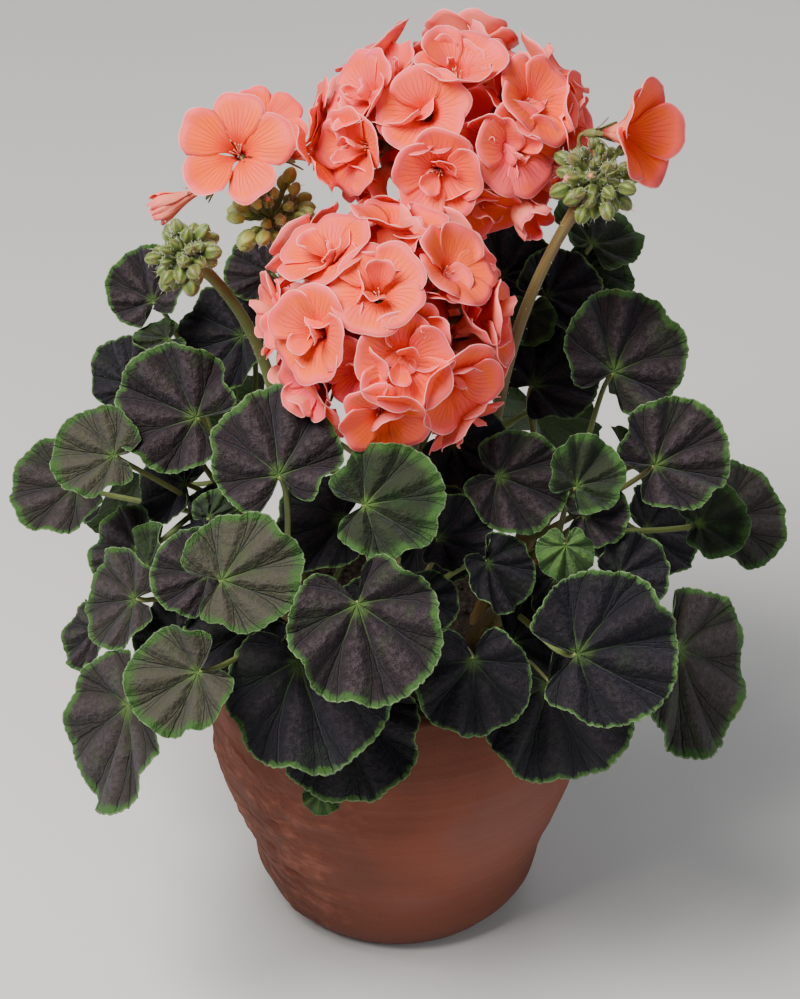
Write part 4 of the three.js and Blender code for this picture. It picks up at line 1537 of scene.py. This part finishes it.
@dataclass(frozen=True)
class Soil:
    """The potting soil: a mound inside the pot, with crumbs lying on it."""

    TOP = 131.0
    MOUND = 5.0
    RADIUS = 75.0
    CRUMBS = 320

    def level(self, radius: np.ndarray | float) -> np.ndarray | float:
        """The mound's height at a distance from the axis."""
        return self.TOP + self.MOUND * (1 - (radius / self.RADIUS) ** 2)

    def surface(self) -> Surface:
        """The soil's body, lumpy on top.

        Returns:
            The closed body.
        """
        wall = np.array([(75.9, 124.0), (77.0, 117.0), (74.5, 78.0), (61.5, 35.0), (47.5, 9.6), (0.0, 9.6)])
        radius = np.linspace(0, self.RADIUS, 44)
        top = np.stack([radius, self.level(radius) - 1.5 * smooth(radius, 68, self.RADIUS)], axis=-1)
        points, uv = revolved(np.concatenate([top, wall])[::-1], 150)
        within = smooth(-np.hypot(points[..., 0], points[..., 1]), -74.0, -66.0)
        inside = within * smooth(points[..., 2], 120, 130)
        lumps = 1.1 * waves(points, 22, 8) + 0.8 * waves(points, 8, 9) + 0.5 * waves(points, 3.6, 10)
        points[..., 2] += inside * lumps
        return Surface.skin(points, uv)

    def crumbs(self) -> Surface:
        """Loose crumbs and bits of bark, each a small uneven egg.

        Returns:
            All crumbs as one surface.
        """
        rng = np.random.default_rng(21)
        parts = []
        for _ in range(self.CRUMBS):
            turn, far = rng.uniform(0, 2 * math.pi), 70 * math.sqrt(rng.uniform())
            place = np.array([far * math.sin(turn), far * math.cos(turn), 0.0])
            place[2] = self.level(far) + rng.uniform(-0.6, 1.2)
            size = rng.uniform(0.8, 2.2)
            parts.append(self.crumb(place, size, rng))
        return Surface.joined(parts)

    def crumb(self, place: np.ndarray, size: float, rng: np.random.Generator) -> Surface:
        """One crumb: six columns by four rows, each row swollen at random.

        Args:
            place: Its middle.
            size: Its radius.
            rng: Source of its unevenness.

        Returns:
            The closed crumb.
        """
        rows, columns = 5, 7
        polar = np.linspace(0, math.pi, rows)[:, None]
        angle = np.linspace(0, 2 * math.pi, columns)[None, :]
        girth = size * np.sin(polar) * rng.uniform(0.7, 1.3, (rows, 1))
        squash = rng.uniform(0.5, 1.0, 3)
        sides = np.broadcast_arrays(girth * np.cos(angle), girth * np.sin(angle), size * np.cos(polar))
        return Surface.skin(place + np.stack(sides, axis=-1) * squash, np.zeros((rows, columns, 2)))

    def build(self, earth: Material) -> None:
        """Makes the soil and its crumbs."""
        dress(Surface.joined([self.surface(), self.crumbs()]), "potting_soil", earth, "soil", "soil")


def dress(surface: Surface, name: str, finish: Material, slot: str, *nodes: str) -> None:
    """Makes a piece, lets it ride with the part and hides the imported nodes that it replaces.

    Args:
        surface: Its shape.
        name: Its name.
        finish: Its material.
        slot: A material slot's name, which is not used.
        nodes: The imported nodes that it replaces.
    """
    piece = surface.to_object(name, finish)
    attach(piece, "root")
    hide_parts(*nodes)
    log.info("%s: %d faces", name, len(piece.data.polygons))


# The stage


@dataclass(frozen=True)
class Studio:
    """A pale floor, soft light, and the camera at the photograph's angle."""

    elevation: float = 34.0
    distance: float = 1270.0
    aim: Place = (1.4, 0.0, 211.0)
    lens: float = 105.2
    sensor: float = 36.0

    def floor(self) -> None:
        """Lays a wide pale floor."""
        bpy.ops.mesh.primitive_plane_add(size=12.0)
        floor = bpy.context.active_object
        floor.name = "floor"
        shader = Shader("floor")
        cloud = shader.noise(shader.place(), 1.2, 2.0)
        colour = shader.mix(cloud.rise(0.3, 0.7), (0.60, 0.59, 0.57), (0.64, 0.63, 0.61))
        floor.data.materials.append(shader.finished(colour, cloud, 0.1, {"Roughness": 0.9}))

    def light(self, name: str, place: Place, size: float, power: float, colour: Colour) -> None:
        """Hangs a square lamp that points at the plant.

        Args:
            name: The lamp's name.
            place: Where it hangs, in metres.
            size: The length of its side in metres.
            power: Its power in watts.
            colour: Its colour.
        """
        lamp = bpy.data.lights.new(name, "AREA")
        lamp.shape, lamp.size, lamp.energy, lamp.color = "SQUARE", size, power, colour
        holder = bpy.data.objects.new(name, lamp)
        holder.location = place
        self.point(holder, np.array([0.0, 0.0, 0.2]))
        bpy.context.scene.collection.objects.link(holder)

    @staticmethod
    def point(holder: bpy.types.Object, aim: np.ndarray) -> None:
        """Turns an object so that it looks at a place.

        Args:
            holder: The object.
            aim: The place, in metres.
        """
        way = aim - np.array(holder.location)
        down, round_ = math.atan2(math.hypot(way[0], way[1]), -way[2]), math.atan2(way[1], way[0])
        holder.rotation_euler = (down, 0.0, round_ - math.pi / 2)

    def camera(self) -> None:
        """Sets the camera."""
        data = bpy.data.cameras.new("camera")
        data.sensor_width, data.lens = self.sensor, self.lens
        camera = bpy.data.objects.new("camera", data)
        aim = np.array(self.aim) * MM
        camera.location = aim + direction(0.0, self.elevation) * self.distance * MM
        self.point(camera, aim)
        bpy.context.scene.collection.objects.link(camera)
        bpy.context.scene.camera = camera

    def build(self) -> None:
        """Sets the floor, the lights, the sky and the camera."""
        self.floor()
        self.light("key", (-0.70, -0.55, 1.6), 0.85, 60.0, (1.0, 0.98, 0.95))
        self.light("fill", (1.2, -1.3, 0.9), 1.6, 10.0, (0.95, 0.97, 1.0))
        self.light("back", (0.4, 1.5, 1.3), 1.2, 8.0, (1.0, 1.0, 1.0))
        world = bpy.data.worlds.new("sky")
        world.use_nodes = True
        sky = world.node_tree.nodes["Background"].inputs
        sky["Color"].default_value, sky["Strength"].default_value = (0.85, 0.9, 1.0, 1.0), 0.2
        bpy.context.scene.world = world
        self.camera()


# The plant's rows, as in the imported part: leaves, then peduncles, umbels and single florets

DEEP, DUSKY, DUSKY_LIT, GREY, GREEN, YOUNG = Tone


def back_leaves() -> list[tuple]:
    """The leaves behind the plant: three tiers, each spread evenly over its arc.

    Returns:
        One row for each leaf.
    """
    tiers = [
        (5, 122, 238, 140.4, 178, 33, 28),
        (4, 128, 232, 120, 228, 31, 42),
        (2, 160, 205, 88, 266, 27, 60),
    ]
    rows = []
    for level, (count, first, last, reach, height, radius, tilt) in enumerate(tiers):
        for index in range(count):
            turn = first + (last - first) * index / (count - 1)
            x, y, _ = direction(turn, 0) * reach
            swing = 30 * math.sin(math.radians((index + 1) * (level + 2) * GOLDEN_ANGLE))
            tone = (DUSKY, DEEP, GREY)[(index + level) % 3]
            rows.append((x, y, height + swing / 4, radius, turn, tilt, swing, 0.06, 0.1, tone))
    return rows


def plant() -> list[LeafyStem]:
    """The six leafy stems.

    Returns:
        The stems, each with what it carries.
    """
    return [
        LeafyStem(
            "stem_front", (0, -24), (-4, -60, 206),
            [
                (-20, -100, 161, 31, 0, 20, 10, 0.1, 0, DEEP),
                (-4, -82, 200, 26, 0, 45, 0, 0.1, 0.1, DEEP),
                (31, -119, 203, 24, 4, 30, 0, -0.1, 0.1, DEEP),
                (-12, -136, 241, 31, -4, 44, 20, 0.05, 0.05, DUSKY),
                (13, -96, 226, 13, 10, 40, 60, 0.1, 0, DEEP),
                (41, -88, 234, 17, 40, 35, 20, 0.1, 0.3, DEEP),
                (23, -74, 244, 17, -20, 50, 120, 0.1, 0.3, DEEP),
                (18, -48, 226, 22, 10, 50, 60, 0.1, 0.1, DEEP),
                (-4, -96, 275, 24, 0, 42, 100, 0.05, 0, GREEN),
                (30, -18, 248, 20, 10, 50, 60, 0.1, 0.1, DEEP),
            ],
            [Peduncle((-5, -32, 296), (0, 0.1, 1), 0.8, 0.2)],
            lobes=[(-31.5, -103, 129, 8.5, -5, 25, 8, -0.2, 0.1, YOUNG)],
        ),
        LeafyStem(
            "stem_front_left", (-24, -14), (-50, -62, 200),
            [
                (-36.5, -108, 190, 35, -12, 45, 25, -0.1, 0.1, DEEP),
                (-87, -122, 205, 23, -20, 40, -50, 0.12, 0.1, GREY),
                (-67, -66, 188, 26, -35, 42, -40, 0.1, 0.1, DEEP),
                (-83, -84, 232, 19, -30, 40, -80, 0.1, 0.1, DUSKY),
                (-30, -46, 230, 22, -20, 52, -60, 0.1, 0.1, DEEP),
                (-61, -108, 249, 25, -8, 44, 115, 0.08, 0.05, GREY),
                (-74, -66, 250, 10, -20, 60, 150, 0.1, 0.1, GREEN),
                (-49, -66, 279, 28, -22, 44, -155, 0.05, 0.08, DUSKY),
            ],
        ),
        LeafyStem(
            "stem_left", (-32, 14), (-76, -2, 214),
            [
                (-116, -100, 162, 35, -62, 25, 5, 0.05, 0.15, DUSKY_LIT),
                (-134, -40, 167, 16, -60, 30, -30, 0.1, 0, DUSKY),
                (-81, -25, 214, 24, -80, 45, -60, 0.1, 0.1, DEEP),
                (-116, -58, 199, 22, -50, 35, -60, 0, 0.3, DUSKY_LIT),
                (-105, -36, 206, 16, -70, 20, 180, 0.1, 0.1, GREEN),
                (-149, 20, 205, 24, -25, 55, -70, 0.05, 0.05, DUSKY_LIT),
                (-127, -15, 245, 21, -25, 48, -85, 0.1, 0.2, GREY),
                (-94, -5, 261, 28, -15, 38, -105, 0.05, 0.15, DUSKY),
                (-119, 25, 260, 17, -40, 30, -120, 0.1, 0, DEEP),
                (-103, 35, 270, 12, -10, 70, -60, 0.1, 0, GREEN),
                (-109, 55, 286, 19, -30, 38, -140, 0.2, 0.1, DUSKY),
                (-76, 50, 262, 24, -30, 45, -60, 0.1, 0.1, DEEP),
                (-97, 6, 219, 22, -60, 40, -80, 0.1, 0.1, DEEP),
                (-118, -13, 195, 19, -50, 45, -70, 0.1, 0.1, DUSKY),
                (-98, -58, 178, 19, -50, 35, -50, 0.1, 0.1, DEEP),
            ],
            [
                Peduncle((-84, -3, 332), (-0.6, -0.3, 0.75), 0.5, 0.3),
                Peduncle((-52, 30, 332), (-0.2, 0.1, 1), 0.4, 0.3),
            ],
            [
                Umbel((-87, -5, 335), (-0.6, -0.3, 0.7), 16, 125, 13, True, 0.0),
                Umbel((-52, 30, 334), (-0.1, -0.2, 1), 11, 118, 19, False, 0.12),
            ],
            {
                "floret_left_open": Floret((-66.0, 20, 370), (-12, 40), 18, 26.0, 88, 0, 0.0, 1, 26.5),
                "floret_left_behind": Floret((-55.0, 51, 366), (20, 50), 30, 18.0, 88, 0, 0.1, 2, 28.0),
                "floret_left_side": Floret((-34.0, 22, 369), (78, 20), 0, 20.0, 84, 0, 0.0, 3, 28.0),
                "floret_left_half": Floret((-87.0, 24, 347), (-72, -18), 0, 16.0, 40, 1, 0.0, 4),
            },
        ),
        LeafyStem(
            "stem_front_right", (24, -14), (54, -54, 200),
            [
                (68, -100, 174, 34, 15, 20, 20, 0.05, 0, DEEP),
                (123, -85, 181, 36, 55, 25, 10, 0.05, 0.15, DUSKY_LIT),
                (56, -75, 184, 26, 35, 42, 40, 0.1, 0.1, DEEP),
                (66, -76, 218, 13, 10, 40, 0, 0.1, 0, DEEP),
                (97, -75, 226, 17, 30, 40, 90, 0.1, 0, DEEP),
                (83, -122, 222, 32, 12, 42, 95, 0.02, 0.1, DEEP),
                (82, -66, 248, 14, 10, 40, 90, 0.1, 0, DUSKY),
                (68, -92, 246, 12, 0, 20, 0, -0.3, 0, YOUNG),
                (49, -62, 261, 22, 8, 42, 65, 0.05, 0.1, DUSKY),
                (77, -59, 263, 17, 20, 40, 130, 0.1, 0.4, GREEN),
            ],
        ),
        LeafyStem(
            "stem_right", (32, 14), (74, 2, 214),
            [
                (86, -8, 206, 26, 70, 45, 60, 0.1, 0.1, DEEP),
                (149.25, 0, 203, 25, 40, 45, 80, 0.05, 0.05, DUSKY_LIT),
                (135, -22, 215, 17, 20, 45, 90, 0.25, 0, GREEN),
                (115, -38, 259, 25, 12, 46, 112, 0.1, 0.15, DUSKY),
                (97, 15, 277, 28, 20, 40, 140, 0.05, 0.25, DUSKY),
                (58, 45, 275, 12, 0, 20, 0, 0.1, 0.2, GREEN),
                (66, 40, 251, 24, 15, 50, 120, 0.1, 0.1, DEEP),
                (117, 18, 183, 22, 60, 40, 60, 0.1, 0.1, DEEP),
            ],
            [Peduncle((78, 3, 361), (0.5, 0.05, 0.85), 0.3, 0.75)],
            [Umbel((81, 3, 366), (0.25, -0.35, 0.9), 15, 128, 16, True, 0.15)],
            {
                "floret_right_side": Floret((91.8, -2, 389.5), (60, 15), 53, 24.5, 70, 0, 0.0, 6, 35.0),
            },
        ),
        LeafyStem(
            "stem_back", (0, 34), (8, 58, 226),
            [
                *back_leaves(),
                (91, 82, 278, 17, 30, 60, 60, -0.2, 0.2, GREEN),
                (-60, 60, 293, 17, -30, 50, -100, 0.1, 0.3, DUSKY),
                (89, 95, 291, 22, 60, 60, 110, 0.1, 0.1, GREEN),
                (72, 62, 280, 20, 20, 50, 100, 0.1, 0.1, DEEP),
                (50, 82, 283, 20, 10, 55, 150, 0.1, 0.1, DEEP),
            ],
            [Peduncle((22, 46, 346), (0, 0, 1), 0.85, 0.4)],
        ),
    ]


def heads() -> list[FlowerHead]:
    """The two dense heads.

    Returns:
        The front head, then the back one.
    """
    return [
        FlowerHead(
            "head_front", (-5, -32, 316), (1, 1, 0.98), (-5, -32, 294),
            [
                (-40, 22, 10, 1), (-4, 50, 40, 1.02), (10, 14, 20, 0.96), (0, -16, 50, 1.03),
                (38, -6, 0, 1), (66, 50, 30, 1), (84, 10, 60, 0.98), (-72, 60, 0, 1), (150, 76, 20, 0.96),
                (-84, 12, 45, 0.95), (-50, -26, 30, 0.94), (52, -36, 15, 1.02), (132, 30, 10, 1),
                (-130, 34, 25, 1), (178, 22, 50, 1), (112, -22, 35, 0.98), (-140, -22, 40, 0.98),
            ],
            7,
        ),
        FlowerHead(
            "head_back", (23, 45, 364), (1.16, 0.95, 0.86), (22, 46, 344),
            [
                (-6, 8, 15, 1.03), (-18, 42, 35, 0.98), (30, 18, 0, 1), (54, 40, 25, 1), (8, 72, 50, 1),
                (-48, 12, 40, 1), (-62, 42, 10, 1), (-90, 10, 30, 1.05), (-25, -26, 20, 0.95),
                (78, 16, 55, 0.98), (10, -22, 30, 0.94), (112, 36, 15, 1), (168, 44, 45, 1), (-125, 46, 5, 1),
                (124, -6, 25, 1), (172, -2, 0, 1), (-130, -6, 50, 1), (34, -20, 0, 0.88, 38),
            ],
            9,
        ),
    ]


def main() -> None:
    """Builds the looks."""
    logging.basicConfig(level=logging.INFO, format="%(name)s: %(message)s")
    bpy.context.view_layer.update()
    leaf, petal = LeafFinish().build(), PetalFinish().build()
    stem, bud = StemFinish().build(), BudFinish().build()
    hair = PlainFinish("hair", (0.62, 0.66, 0.5), (0.72, 0.74, 0.62), 40.0, 0.5).build()
    stamen = PlainFinish("stamen", (0.85, 0.20, 0.11), (0.95, 0.50, 0.34), 900.0, 0.5).build()
    earth = PlainFinish("earth", (0.016, 0.010, 0.007), (0.055, 0.036, 0.024), 420.0, 0.95).build()
    Pot().build(TerracottaFinish().build())
    Soil().build(earth)
    for branch in plant():
        branch.build(leaf, stem, bud, hair)
        for name, floret in branch.florets.items():
            dress(floret.petals(), f"{name}_petals", petal, "petals", name)
            dress(floret.stamens(), f"{name}_stamens", stamen, "petals", name)
    for head in heads():
        head.build(petal, stem, stamen)
    Studio().build()
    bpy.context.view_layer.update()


if __name__ == "__main__":
    main()
